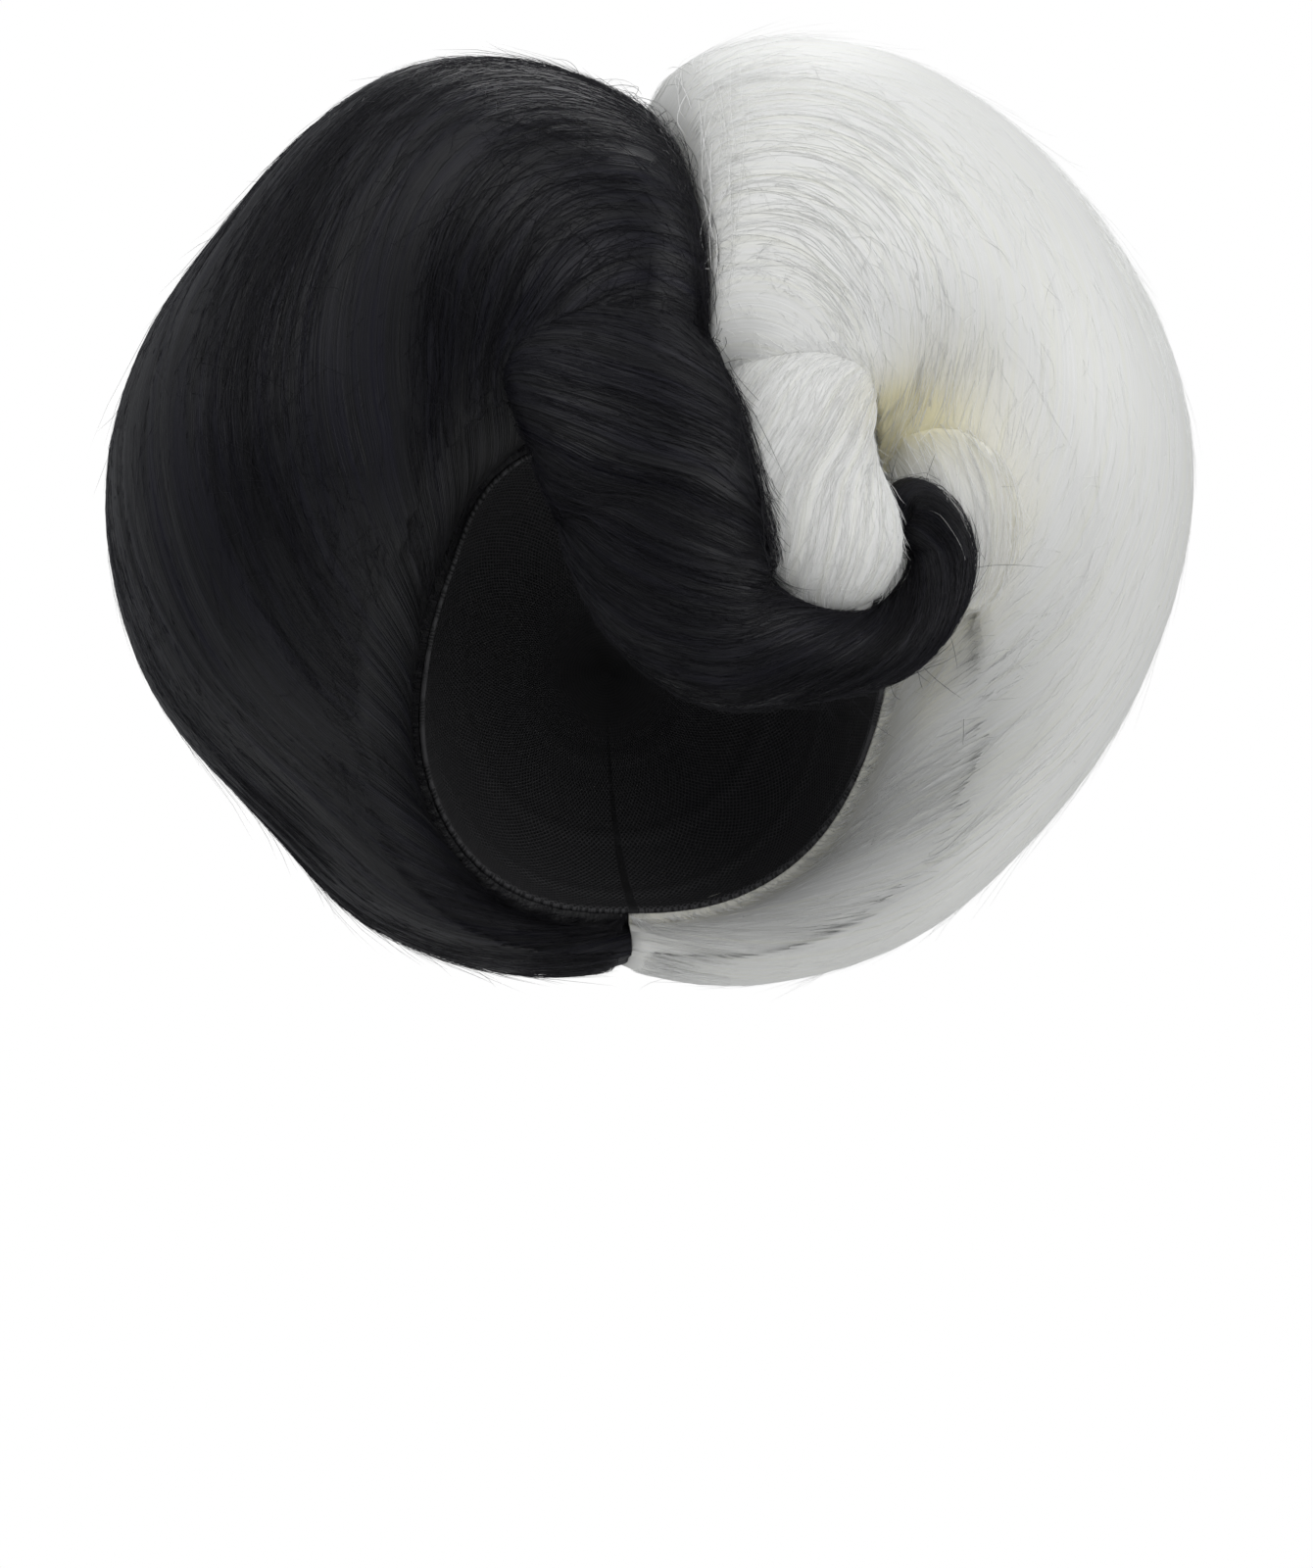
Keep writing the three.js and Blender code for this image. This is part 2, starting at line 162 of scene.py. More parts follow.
floor_height = cad_low[2] - 480 * mm
floor_radius = 1150 * mm
bpy.ops.mesh.primitive_circle_add(
    vertices=96, radius=floor_radius, fill_type="NGON", location=(0, 0, floor_height)
)
floor = bpy.context.object
floor.name = "pale_floor"
pale, pale_tree, pale_shader = new_material("pale_floor", base_color=(0.8, 0.8, 0.79, 1), roughness=0.9)
on_floor = add_node(pale_tree, "TexCoord").outputs["Object"]
from_centre = add_node(pale_tree, "VectorMath", {0: on_floor}, operation="LENGTH").outputs["Value"]
fade_range = {"From Min": 0.5 * floor_radius, "From Max": 0.97 * floor_radius, "To Min": 1, "To Max": 0}
rim_fade = add_node(pale_tree, "MapRange", {"Value": from_centre, **fade_range})
rim_fade.interpolation_type = "SMOOTHSTEP"
pale_tree.links.new(rim_fade.outputs["Result"], pale_shader["Alpha"])
floor.data.materials.append(pale)
print("floor at", round(floor_height, 3))

# %% [markdown]
# The masses of hair follow the same formulas as the CAD model, here in metres and for whole arrays
# of points at once. First the head: a superellipsoid, a rounded box between an egg and a brick,
# which is nearer to a skull than a plain ellipsoid.

# %% The head under the hair
head_half = np.array([76, 97, 88]) * mm  # half width, half length, half height
head_squareness = 2.3
head_middle = np.array([0, 0, -head_half[2]])
cap_thickness = 1.6 * mm
piece_gap = 0.3 * mm


def unit(vectors):
    """Vectors scaled to a length of one."""
    return vectors / (np.linalg.norm(vectors, axis=-1, keepdims=True) + 1e-12)


def head_reach(direction, lift):
    """Radius of the head along unit directions: one over the squareness-norm of the direction
    measured in half sizes, each made larger by lift."""
    terms = (np.abs(direction) / (head_half + lift)) ** head_squareness
    return terms.sum(axis=-1) ** (-1 / head_squareness)


def placed(side, angle, radius, depth):
    """Points from an angle in degrees round the face, a radius and a depth behind the middle."""
    turn = np.radians(angle)
    point = np.stack([side * radius * np.sin(turn), depth + 0 * turn, radius * np.cos(turn)], axis=-1)
    return point + head_middle


def on_head(side, angle, turned_back, lift):
    """Points on the head at an angle round the face, turned back from the face by some degrees."""
    turned = np.radians(turned_back)
    direction = placed(side, angle, np.sin(turned), -np.cos(turned)) - head_middle
    return direction * head_reach(direction, lift)[..., None] + head_middle


print("head round", round(float(2 * np.pi * np.sqrt((head_half[0] ** 2 + head_half[1] ** 2) / 2)), 3), "m")

# %% [markdown]
# Then the outline of the hair. A short table gives nine sections from the top of the head round to
# the nape, and a smooth curve through each column fills in the angles between. Each section is
# three quarter ellipses: from the hairline forward to the crest of the roll, out to the rim, and
# round to the back of the head.

# %% The sections of the two halves
hair_side, hair_top, hair_bottom, hair_back = 166 * mm, 207 * mm, 105 * mm, 150 * mm
back_squareness = 2.2
roll_forward = 60 * mm
edge_lift = 5 * mm
parting_width = 50 * mm
parting_share = 0.2
crest_along, rim_along = 0.2, 0.5

section_columns = ("edge", "crest_black", "crest_white", "forward", "rim_black", "rim_white", "depth")
section_rows = (
    (47, 0.35, 0.35, 1.05, 0.925, 1, 0.03),
    (54, 0.32, 0.34, 1.07, 1.032, 1.062, 0.03),
    (64, 0.3, 0.38, 1, 1.012, 1.072, 0.05),
    (64, 0.36, 0.46, 0.8, 1.03, 1.069, 0.08),
    (76, 0.44, 0.52, 0.66, 0.998, 1.03, 0.13),
    (95, 0.5, 0.53, 0.58, 0.936, 1.024, 0.2),
    (106, 0.53, 0.54, 0.44, 0.998, 1.07, 0.3),
    (114, 0.53, 0.53, 0.26, 1.018, 1.063, 0.4),
    (118, 0.5, 0.5, 0.15, 1, 1, 0.46),
)
sections = {name: np.array(column) for name, column in zip(section_columns, zip(*section_rows))}
section_step = 180 / (len(section_rows) - 1)

dent_columns = ("side", "angle", "along", "angle_span", "along_span", "share")
dent_rows = (
    (1, 45, 0.12, 12, 0.07, 0.42),
    (1, 60, 0.14, 10, 0.04, 0.24),
    (1, 76, 0.11, 12, 0.035, 0.2),
    (1, 94, 0.08, 13, 0.03, 0.16),
    (-1, 40, 0.06, 16, 0.06, 0.34),
)
dents = [dict(zip(dent_columns, row)) for row in dent_rows]


def catmull_rom(padded, place):
    """A uniform Catmull-Rom curve through the rows of a table. Place counts from its second row,
    and its first and last rows only set the slopes at the ends."""
    row = np.minimum(place.astype(int), len(padded) - 4)
    w = (place - row).reshape(place.shape + (1,) * (padded.ndim - 1))
    a, b, c, d = (padded[row + k] for k in range(4))
    return b + 0.5 * w * (c - a + w * (2 * a - 5 * b + 4 * c - d + w * (3 * (b - c) + d - a)))


def section_value(column, angle):
    """A curve through one column of the table, level at both ends."""
    values = sections[column]
    padded = np.concatenate([values[1:2], values, values[-2:-1]])
    return catmull_rom(padded, np.clip(np.asarray(angle, float) / section_step, 0, len(values) - 1))


def over_cap(side, angle, along, lift):
    """Points over the head between the hairline, at along nought, and the back, at one."""
    edge_turn = section_value("edge", angle)
    return on_head(side, angle, edge_turn + (180 - edge_turn) * along, lift)


def egg_reach(turn):
    """The egg through the top, side and bottom reaches: a round raised by half the difference of
    top and bottom, widened at the sides by the square of the sine."""
    middle_reach = (hair_top + hair_bottom) / 2
    raised = (hair_top - hair_bottom) / 2 * np.cos(turn)
    return (middle_reach + raised) * (1 + (hair_side / middle_reach - 1) * np.sin(turn) ** 2)


def dent_share(side, angle, along):
    """How strongly the hollows press: one minus the product of what each bell shape leaves."""
    kept = np.ones(np.broadcast(angle, along).shape)
    for dent in dents:
        if dent["side"] == side:
            a = (angle - dent["angle"]) / dent["angle_span"]
            b = (along - dent["along"]) / dent["along_span"]
            kept = kept * (1 - dent["share"] * np.exp(-a * a - b * b))
    return 1 - kept


def skin_point(side, angle, along):
    """Points of the outer skin: three quarter ellipses from hairline to back, drawn in towards the
    head at the parting and at the dents by shares of the hair's depth."""
    tone = "black" if side < 0 else "white"
    angle, along = np.broadcast_arrays(np.asarray(angle, float), np.asarray(along, float))
    edge = on_head(side, angle, section_value("edge", angle), edge_lift)
    edge_radius = np.hypot(edge[..., 0], edge[..., 2] - head_middle[2])
    rim_radius = egg_reach(np.radians(angle)) * section_value("rim_" + tone, angle)
    rim_depth = hair_back * section_value("depth", angle)
    crest_radius = edge_radius + (rim_radius - edge_radius) * section_value("crest_" + tone, angle)
    crest_depth = edge[..., 1] - roll_forward * section_value("forward", angle)
    quarter = np.pi / 2
    first = quarter * np.clip(along / crest_along, 0, 1)
    second = quarter * np.clip((along - crest_along) / (rim_along - crest_along), 0, 1)
    third = quarter * np.clip((along - rim_along) / (1 - rim_along), 0, 1)
    stages = [along <= crest_along, along <= rim_along]
    radius = np.select(
        stages,
        [
            crest_radius - (crest_radius - edge_radius) * np.cos(first),
            crest_radius + (rim_radius - crest_radius) * np.sin(second),
        ],
        rim_radius * np.maximum(np.cos(third), 0) ** (2 / back_squareness),
    )
    depth = np.select(
        stages,
        [
            edge[..., 1] - (edge[..., 1] - crest_depth) * np.sin(first),
            rim_depth - (rim_depth - crest_depth) * np.cos(second),
        ],
        rim_depth + (hair_back - rim_depth) * np.sin(third) ** (2 / back_squareness),
    )
    radius = np.where(along >= 1, 0, radius)
    point = placed(side, angle, radius, depth) - head_middle
    from_parting = np.minimum(np.abs(point[..., 0]) / parting_width, 1)
    parting = parting_share * (1 - np.sqrt(1 - (1 - from_parting) ** 2))
    pressed = 1 - (1 - parting) * (1 - dent_share(side, angle, along))
    distance = np.linalg.norm(point, axis=-1)
    direction = point / distance[..., None]
    hair_depth = np.maximum(distance - head_reach(direction, edge_lift), 0)
    return direction * (distance - hair_depth * pressed)[..., None] + head_middle


print("widest", round(float(skin_point(1, 75, 0.5)[0] - skin_point(-1, 75, 0.5)[0]), 3), "m")

# %% [markdown]
# Hair is read by its flow. On this wig it leaves the parting sideways, arches over and runs down to
# the face and the nape, as combed-out hair does. A flow line is named by where it starts along the
# parting, and a second number runs from the parting to its end. The two together are also the grid
# that each half is built on, so its ridges come out combed.

# %% The flow of the combed hair
first_end_angle = 25.0
last_front_start = 0.56  # lines that start further back than this end at the nape
end_angle_power = 2.2
fall_power = {-1: 2.0, 1: 1.6}  # the white hair leaves the parting a little steeper than the black
front_fall = {-1: 4.0, 1: 2.5}  # added at the front, where the hair arches level over the forelocks
front_reach = 0.12


def flow(side, start, s):
    """Angle and along of points on flow lines. The angle grows evenly up to an end angle that rises
    with a power of the start; along falls with a power of s from the start to its end value. That
    power is higher for the first starts, by an exponential."""
    share = np.clip(start / last_front_start, 0, 1)
    end_angle = first_end_angle + (180 - first_end_angle) * share**end_angle_power
    end_along = np.clip((start - last_front_start) / (1 - last_front_start), 0, 1)
    power = fall_power[side] + front_fall[side] * np.exp(-start / front_reach)
    return end_angle * s, end_along + (start - end_along) * (1 - s**power)


def half_point(side, start, s):
    """Points of a half's skin by flow line and place on it, a hair's breadth off the parting."""
    angle, along = flow(side, start, s)
    point = skin_point(side, angle, along)
    point[..., 0] += side * piece_gap / 2
    return point


def half_normal(side, start, s):
    """Unit normals of the skin, from the cross product of small steps in start and s."""
    step = 1e-3
    low_start, high_start = np.clip(start - step, 0, 1), np.clip(start + step, 0, 1)
    low_s, high_s = np.clip(s - step, 0, 1), np.clip(s + step, 0, 1)
    across = half_point(side, high_start, s) - half_point(side, low_start, s)
    down = half_point(side, start, high_s) - half_point(side, start, low_s)
    normal = unit(np.cross(across, down))
    outward = half_point(side, start, s) - head_middle
    facing = np.sign((normal * outward).sum(axis=-1, keepdims=True))
    return normal * np.where(facing == 0, 1, facing)


profile_place = 0.12  # the line across the flow that spacing is measured along, just beside the parting
profile_starts = np.linspace(0, 1, 600)
profile = half_point(-1, profile_starts, np.full(600, profile_place))
profile_length = np.concatenate([[0], np.cumsum(np.linalg.norm(np.diff(profile, axis=0), axis=1))])


def start_at(share):
    """The start whose line lies at a share of the length of hairline-to-back, for even spacing."""
    return np.interp(share * profile_length[-1], profile_length, profile_starts)


print("parting from hairline to the back", round(float(profile_length[-1]), 3), "m")

# %% [markdown]
# Combed hair clumps into ridges that run along the flow. Value noise makes them: random numbers on
# a lattice that is fine across the flow and very long along it, joined by smooth steps. Several
# sizes are added up, from soft locks to thin clumps. Everything random is seeded, so that each run
# gives the same wig.

# %% Noise that follows the flow
lattice_size = 256
ridge_columns = ("spacing", "run", "height")
ridge_rows = (
    (30 * mm, 160 * mm, 1.2 * mm), (11 * mm, 110 * mm, 0.5 * mm), (4.5 * mm, 80 * mm, 0.28 * mm),
    (2.0 * mm, 60 * mm, 0.2 * mm), (1.2 * mm, 45 * mm, 0.14 * mm),
)
ridges = [dict(zip(ridge_columns, row)) for row in ridge_rows]
bend_height, bend_across, bend_along = 5 * mm, 35 * mm, 90 * mm


def smooth_step(x):
    """From nought to one with level ends: three x squared less two x cubed."""
    x = np.clip(x, 0, 1)
    return x * x * (3 - 2 * x)


def value_noise(x, y, seed):
    """Random lattice values joined by smooth steps, from -1 to 1."""
    lattice = np.random.default_rng(seed).uniform(-1, 1, (lattice_size, lattice_size))
    x0, y0 = np.floor(x).astype(int), np.floor(y).astype(int)
    u, v = smooth_step(x - x0), smooth_step(y - y0)
    x0, x1, y0, y1 = (k % lattice_size for k in (x0, x0 + 1, y0, y0 + 1))
    a, b, c, d = lattice[x0, y0], lattice[x1, y0], lattice[x0, y1], lattice[x1, y1]
    return (a * (1 - u) + b * u) * (1 - v) + (c * (1 - u) + d * u) * v


def ridge_height(across, along, seed, soft=1.0):
    """The sum of ridge noises, each with its own spacing across, run along and height, the widest
    one times soft. A second noise bends them a little, because no lock of hair runs quite straight."""
    total = np.zeros(np.broadcast(across, along).shape)
    across = across + bend_height * value_noise(across / bend_across, along / bend_along, seed + 90)
    for k, ridge in enumerate(ridges):
        height = ridge["height"] * (soft if k == 0 else 1)
        total += height * value_noise(across / ridge["spacing"], along / ridge["run"] + 0.37 * k, seed + k)
    return total


print("ridges up to", round(1000 * sum(r["height"] for r in ridges), 2), "mm high")

# %% [markdown]
# Meshes go into Blender as whole arrays with foreach_set, which is fast enough for a hundred
# thousand faces. Each closed shape is merged at its seams and poles, and its faces are turned
# outwards once.

# %% Mesh helpers


def mesh_object(name, vertices, triangles, uv=None, values=None, merge=False):
    """A mesh object at the origin from arrays of vertices and triangles, shaded smooth, with a UV
    map of one pair for each vertex and named float attributes."""
    mesh = bpy.data.meshes.new(name)
    mesh.vertices.add(len(vertices))
    mesh.vertices.foreach_set("co", np.asarray(vertices, np.float32).ravel())
    mesh.loops.add(3 * len(triangles))
    mesh.loops.foreach_set("vertex_index", np.asarray(triangles, np.int32).ravel())
    mesh.polygons.add(len(triangles))
    mesh.polygons.foreach_set("loop_start", np.arange(0, 3 * len(triangles), 3, dtype=np.int32))
    mesh.polygons.foreach_set("use_smooth", np.ones(len(triangles), bool))
    if uv is not None:
        layer = mesh.uv_layers.new(name="flow")
        layer.data.foreach_set("uv", np.asarray(uv, np.float32)[np.asarray(triangles).ravel()].ravel())
    for key, value in (values or {}).items():
        attribute = mesh.attributes.new(key, "FLOAT", "POINT")
        attribute.data.foreach_set("value", np.asarray(value, np.float32))
    mesh.update(calc_edges=True)
    made = bpy.data.objects.new(name, mesh)
    bpy.context.collection.objects.link(made)
    if merge:
        merge_and_turn(mesh)
    return made


def merge_and_turn(mesh):
    """Merges doubled points and turns the faces of a closed shape outwards."""
    work = bmesh.new()
    work.from_mesh(mesh)
    bmesh.ops.remove_doubles(work, verts=work.verts, dist=1e-6)
    bmesh.ops.dissolve_degenerate(work, dist=1e-7, edges=work.edges)
    bmesh.ops.recalc_face_normals(work, faces=work.faces)
    work.to_mesh(mesh)
    work.free()


def grid_triangles(rows, columns, first=0):
    """Two triangles for each cell of a grid of points numbered row by row."""
    r, c = np.meshgrid(np.arange(rows - 1), np.arange(columns - 1), indexing="ij")
    a = (first + r * columns + c).ravel()
    b, d = a + 1, a + columns
    e = d + 1
    return np.concatenate([np.stack([a, d, e], 1), np.stack([a, e, b], 1)])


def stitch(fine, coarse):
    """Triangles between a fine line of points and a coarse one beside it: every fine step joins to
    the nearest coarse point, and every coarse step to the fine point where that changes."""
    per = (len(fine) - 1) // (len(coarse) - 1)
    j = np.arange(len(fine) - 1)
    near = (j + per // 2) // per
    i = np.arange(len(coarse) - 1)
    change = i * per + per - per // 2
    return np.concatenate([
        np.stack([fine[j], fine[j + 1], coarse[near]], 1),
        np.stack([coarse[i], fine[change], coarse[i + 1]], 1),
    ])


def dress(piece, material, slot, *nodes):
    """Gives a piece its material, the body it rides on and the nodes it stands for; the slot is not used."""
    piece.data.materials.append(material)
    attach(piece, "root")
    if nodes:
        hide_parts(*nodes)
    triangle_count[piece.name] = len(piece.data.polygons)


triangle_count = {}

# %% [markdown]
# Hair has no single colour and no single normal: each strand catches the light for itself. One node
# group makes that for every mass of hair. It reads the flow UV, in metres, and stretches noise a
# hundredfold along it, once fine for strands and once broad for clumps. It hands out the two masks
# and a bumped normal; the shader stays in each material.

# %% The streak group
streak_inputs = {"Fine Per Metre": 1500, "Broad Per Metre": 160, "Run Per Metre": 9, "Bump Depth": 0.4 * mm}


def streak_group():
    """Two noises on the flow UV: fine streaks a fraction of a millimetre wide and broad ones of
    several millimetres, given out as masks and as one bumped normal."""
    tree = bpy.data.node_groups.new("hair_streaks", "ShaderNodeTree")
    face = tree.interface
    for label, value in streak_inputs.items():
        face.new_socket(name=label, in_out="INPUT", socket_type="NodeSocketFloat").default_value = value
    for label, kind in (("Fine", "Float"), ("Broad", "Float"), ("Normal", "Vector")):
        face.new_socket(name=label, in_out="OUTPUT", socket_type="NodeSocket" + kind)
    given = tree.nodes.new("NodeGroupInput").outputs
    handed_out = tree.nodes.new("NodeGroupOutput").inputs
    flow_uv = add_node(tree, "UVMap", uv_map="flow").outputs["UV"]
    across, along, _ = add_node(tree, "SeparateXYZ", {0: flow_uv}).outputs
    masks = {}
    for label, detail in (("Fine", 2.5), ("Broad", 3)):
        finer = add_node(tree, "Math", {0: across, 1: given[label + " Per Metre"]}, operation="MULTIPLY")
        longer = add_node(tree, "Math", {0: along, 1: given["Run Per Metre"]}, operation="MULTIPLY")
        stretched = add_node(tree, "CombineXYZ", {"X": finer.outputs[0], "Y": longer.outputs[0]}).outputs[0]
        noise = add_node(tree, "TexNoise", noise_dimensions="2D")
        for key, value in (("Scale", 1), ("Detail", detail), ("Roughness", 0.6)):
            noise.inputs[key].default_value = value
        tree.links.new(stretched, noise.inputs["Vector"])
        masks[label] = noise.outputs["Fac"]
        tree.links.new(masks[label], handed_out[label])
    relief = add_node(tree, "Math", {0: masks["Broad"], 1: 0.6, 2: masks["Fine"]}, operation="MULTIPLY_ADD")
    bump = add_node(tree, "Bump", {"Distance": given["Bump Depth"], "Height": relief.outputs[0]})
    tree.links.new(bump.outputs["Normal"], handed_out["Normal"])
    return tree


streaks = streak_group()
print("group", streaks.name, "made")

# %% [markdown]
# The hair is a synthetic fibre. The black one is almost colourless with a cool, faintly violet cast
# and a soft sheen across the strands. The white one is bright where it is combed out. Both get a
# painted shade near the hairline, in the hollows and at some joins, near black on the black hair and
# cream on the white; an attribute on each mesh says how much. Anisotropy stretches each highlight
# across the strands.

# %% Hair materials


def mixed(tree, factor, first, second):
    """A mix of two colours by a factor. Each is a fixed colour or a socket."""
    first, second = ((*c, 1) if isinstance(c, tuple) else c for c in (first, second))
    return add_node(tree, "Mix", {"Factor": factor, 6: first, 7: second}, data_type="RGBA").outputs[2]


def ramp(tree, factor, low, high, from_low=0.3, from_high=0.7):
    """A colour between two, by a mask whose range is stretched first."""
    fit = add_node(tree, "MapRange", {"Value": factor, "From Min": from_low, "From Max": from_high})
    return mixed(tree, fit.outputs["Result"], low, high)


def hair_material(name, dark, light, tint, deep, rough, bump_depth, broad_per_metre, **fixed):
    """Principled hair: dark to light by the fine streaks, a tint by the broad ones, a painted shade
    colour by an attribute that says how much shade is painted, and roughness that follows the fine streaks."""
    material, tree, shader = new_material(name, sheen_roughness=0.4, **fixed)
    group = tree.nodes.new("ShaderNodeGroup")
    group.node_tree = streaks
    group.inputs["Bump Depth"].default_value = bump_depth
    group.inputs["Broad Per Metre"].default_value = broad_per_metre
    fine, broad = group.outputs["Fine"], group.outputs["Broad"]
    clumps = add_node(tree, "MapRange", {"Value": broad, "From Min": 0.45, "From Max": 0.75})
    tinted = mixed(tree, clumps.outputs["Result"], ramp(tree, fine, dark, light), tint)
    # Painted shade: how far the colour turns to the shade colour, read from the mesh.
    deepness = add_node(tree, "Attribute", attribute_name="deep").outputs["Fac"]
    roughness = add_node(tree, "MapRange", {"Value": fine, "To Min": rough[0], "To Max": rough[1]})
    tangent = add_node(tree, "Tangent", direction_type="UV_MAP", uv_map="flow")
    tree.links.new(mixed(tree, deepness, tinted, deep), shader["Base Color"])
    tree.links.new(roughness.outputs["Result"], shader["Roughness"])
    tree.links.new(group.outputs["Normal"], shader["Normal"])
    tree.links.new(tangent.outputs["Tangent"], shader["Tangent"])
    return material


# The last colour of each material is its painted shade: near black for the black hair, cream for the white.
black_hair = hair_material(
    "black_hair", dark=(0.0012, 0.0012, 0.0018), light=(0.006, 0.006, 0.009), tint=(0.004, 0.0036, 0.01),
    deep=(0.001, 0.001, 0.0013), rough=(0.32, 0.52), bump_depth=0.4 * mm, broad_per_metre=160,
    specular_ior_level=0.28, anisotropic=0.5, sheen_weight=0.0,
)
white_hair = hair_material(
    "white_hair", dark=(0.73, 0.73, 0.71), light=(0.79, 0.79, 0.775), tint=(0.76, 0.76, 0.7),
    deep=(0.72, 0.67, 0.44), rough=(0.42, 0.6), bump_depth=0.1 * mm, broad_per_metre=320,
    specular_ior_level=0.35, anisotropic=0.4, sheen_weight=0.15,
)
print("materials", black_hair.name, white_hair.name)

# %% [markdown]
# A forelock is a fat roll: oval sections along a smooth curve through a few rows of a table, with
# the wide side turned away from the head and a rounded end. On the real one the hair doesn't run
# straight down the roll but wraps across it and down. So the grid is wound the same way: each
# column turns round the roll as it goes down, fast at the root and slower towards the tip.

# %% The shape of the locks
lock_lean = 0.35
lean_power = 1.25
lock_tip_share = 0.3
lock_cap_share = 0.04  # the part of a lock's run, beyond each end, that its rounded end takes
# Each row: across, forward and up in half sizes of the head, then shares of width and thickness.
black_forelock_rows = (
    (-0.4, 0.86, 1.5, 0.8, 0.6), (-0.36, 1, 1.3, 0.98, 0.9), (-0.34, 1.11, 1.1, 0.98, 1.05),
    (-0.33, 1.19, 0.92, 1.02, 1.08), (-0.29, 1.24, 0.75, 1.06, 1.05), (-0.22, 1.25, 0.58, 1.02, 1.03),
    (-0.17, 1.25, 0.41, 1, 1), (-0.07, 1.24, 0.22, 0.92, 0.95), (0.12, 1.22, 0.06, 0.72, 0.86),
    (0.46, 1.19, 0.01, 0.45, 0.72), (0.76, 1.12, 0.05, 0.37, 0.62), (0.95, 1.05, 0.19, 0.34, 0.54),
    (1.03, 1, 0.35, 0.33, 0.5), (0.99, 0.97, 0.48, 0.34, 0.5), (0.91, 0.96, 0.55, 0.3, 0.46),
    (0.85, 0.96, 0.5, 0.2, 0.34),
)
white_forelock_rows = (
    (0.42, 0.78, 1.45, 0.76, 0.6), (0.36, 0.92, 1.22, 0.78, 0.85), (0.33, 1.03, 1.02, 0.8, 0.98),
    (0.36, 1.12, 0.82, 0.84, 1.02), (0.4, 1.14, 0.6, 0.86, 1), (0.51, 1.12, 0.4, 0.84, 0.92),
    (0.56, 1.09, 0.26, 0.66, 0.75), (0.58, 1.07, 0.19, 0.36, 0.5),
)
temple_lock_rows = (
    (0.98, 0.64, 0.98, 0.5, 0.6), (1.06, 0.75, 0.82, 0.85, 0.9), (1.12, 0.79, 0.64, 1, 1),
    (1.13, 0.77, 0.47, 0.98, 1), (1.09, 0.68, 0.32, 0.8, 0.84), (1.03, 0.56, 0.2, 0.55, 0.58),
    (0.97, 0.44, 0.11, 0.3, 0.34),
)


def smooth_line(rows, t):
    """A curve through rows of values from t of nought to one, with the end rows carried on straight."""
    padded = np.concatenate([[2 * rows[0] - rows[1]], rows, [2 * rows[-1] - rows[-2]]])
    return catmull_rom(padded, np.clip(t, 0, 1) * (len(rows) - 1))


class Lock:
    """A lock's surface by place along it, 0 to 1, and turn round it, with hair wound round it."""

    def __init__(self, side, rows, width, thickness, root_lean, tip_lean):
        table = np.array(rows)
        self.side = side
        self.centres = table[:, :3] * [1, -1, 1] * head_half + head_middle
        self.sizes = table[:, 3:5] * np.array([width, thickness]) / 2
        self.places = np.linspace(0, 1, 400)
        line, size = smooth_line(self.centres, self.places), smooth_line(self.sizes, self.places)
        self.run = np.concatenate([[0], np.cumsum(np.linalg.norm(np.diff(line, axis=0), axis=1))])
        self.girth = size.mean(axis=1)
        lean = np.radians(tip_lean + (root_lean - tip_lean) * (1 - self.places) ** lean_power)
        turning = np.tan(lean) / np.maximum(self.girth, 8 * mm)
        turned = (turning[1:] + turning[:-1]) / 2 * np.diff(self.run)
        self.winding = np.concatenate([[0], np.cumsum(turned)])

    def wound(self, t):
        """How far the hair has turned round the lock by a place: lean over girth, summed up."""
        return np.interp(t, self.places, self.winding)

    def surface(self, t, turn):
        """Points and normals at places and turns. Beyond 0 and 1 the ovals shrink with the cosine
        of an angle whose sine carries the centre on, which rounds the ends."""
        t, turn = np.broadcast_arrays(t, turn)
        inside = np.clip(t, 0, 1)
        centre, size = smooth_line(self.centres, inside), smooth_line(self.sizes, inside)
        step = 1e-4
        ahead = unit(smooth_line(self.centres, inside + step) - smooth_line(self.centres, inside - step))
        outward = unit(np.stack([centre[..., 0] * lock_lean, centre[..., 1], 0 * inside], axis=-1))
        wide = unit(np.cross(ahead, outward))
        thick = np.cross(wide, ahead)
        rounding = np.pi / 2 * np.clip((t - inside) / lock_cap_share, -1, 1)
        centre = centre + ahead * (2 * lock_tip_share * size[..., 0] * np.sin(rounding))[..., None]
        size = size * np.cos(rounding)[..., None]
        half_wide, half_thick = size[..., :1], size[..., 1:]
        to_wide, to_thick = wide * np.cos(turn)[..., None], thick * np.sin(turn)[..., None]
        point = centre + to_wide * half_wide + to_thick * half_thick
        normal = to_wide * (half_thick + 1e-6) + to_thick * (half_wide + 1e-6)
        return point, unit(unit(normal) * np.cos(rounding)[..., None] + ahead * np.sin(rounding)[..., None])


black_lock = Lock(-1, black_forelock_rows, 62 * mm, 38 * mm, 80, 6)
white_lock = Lock(1, white_forelock_rows, 60 * mm, 34 * mm, -66, -22)
temple_lock = Lock(1, temple_lock_rows, 38 * mm, 30 * mm, 12, 4)
locks = (black_lock, white_lock, temple_lock)
print("locks along their middles, in m", [round(float(lock.run[-1]), 3) for lock in locks])

# %% [markdown]
# Where a lock leaves its half, the hair of both runs together and there is no crease. So near the
# place where they meet, both surfaces move to one common surface, the smooth union of the two. That
# needs the signed distance from a point to the other surface, which is measured to a cloud of
# points and normals on it, with weights that fade like a bell curve, so that it changes smoothly.
# Near the join the ridges are calmed as well.

# %% Where hair joins hair
join_reach = {-1: 36 * mm, 1: 28 * mm}
join_inside = 0.3  # a surface that has gone below the other by this share of the reach is left as it is
parting_clear = 22 * mm  # the join fades out this close to the parting, so that it stays a clean line
bell_width = 5 * mm
edge_slack = 5 * mm
far_away = 50 * mm
calm_reach = 16 * mm
calm_floor = 0.3
least_steepness = 0.7


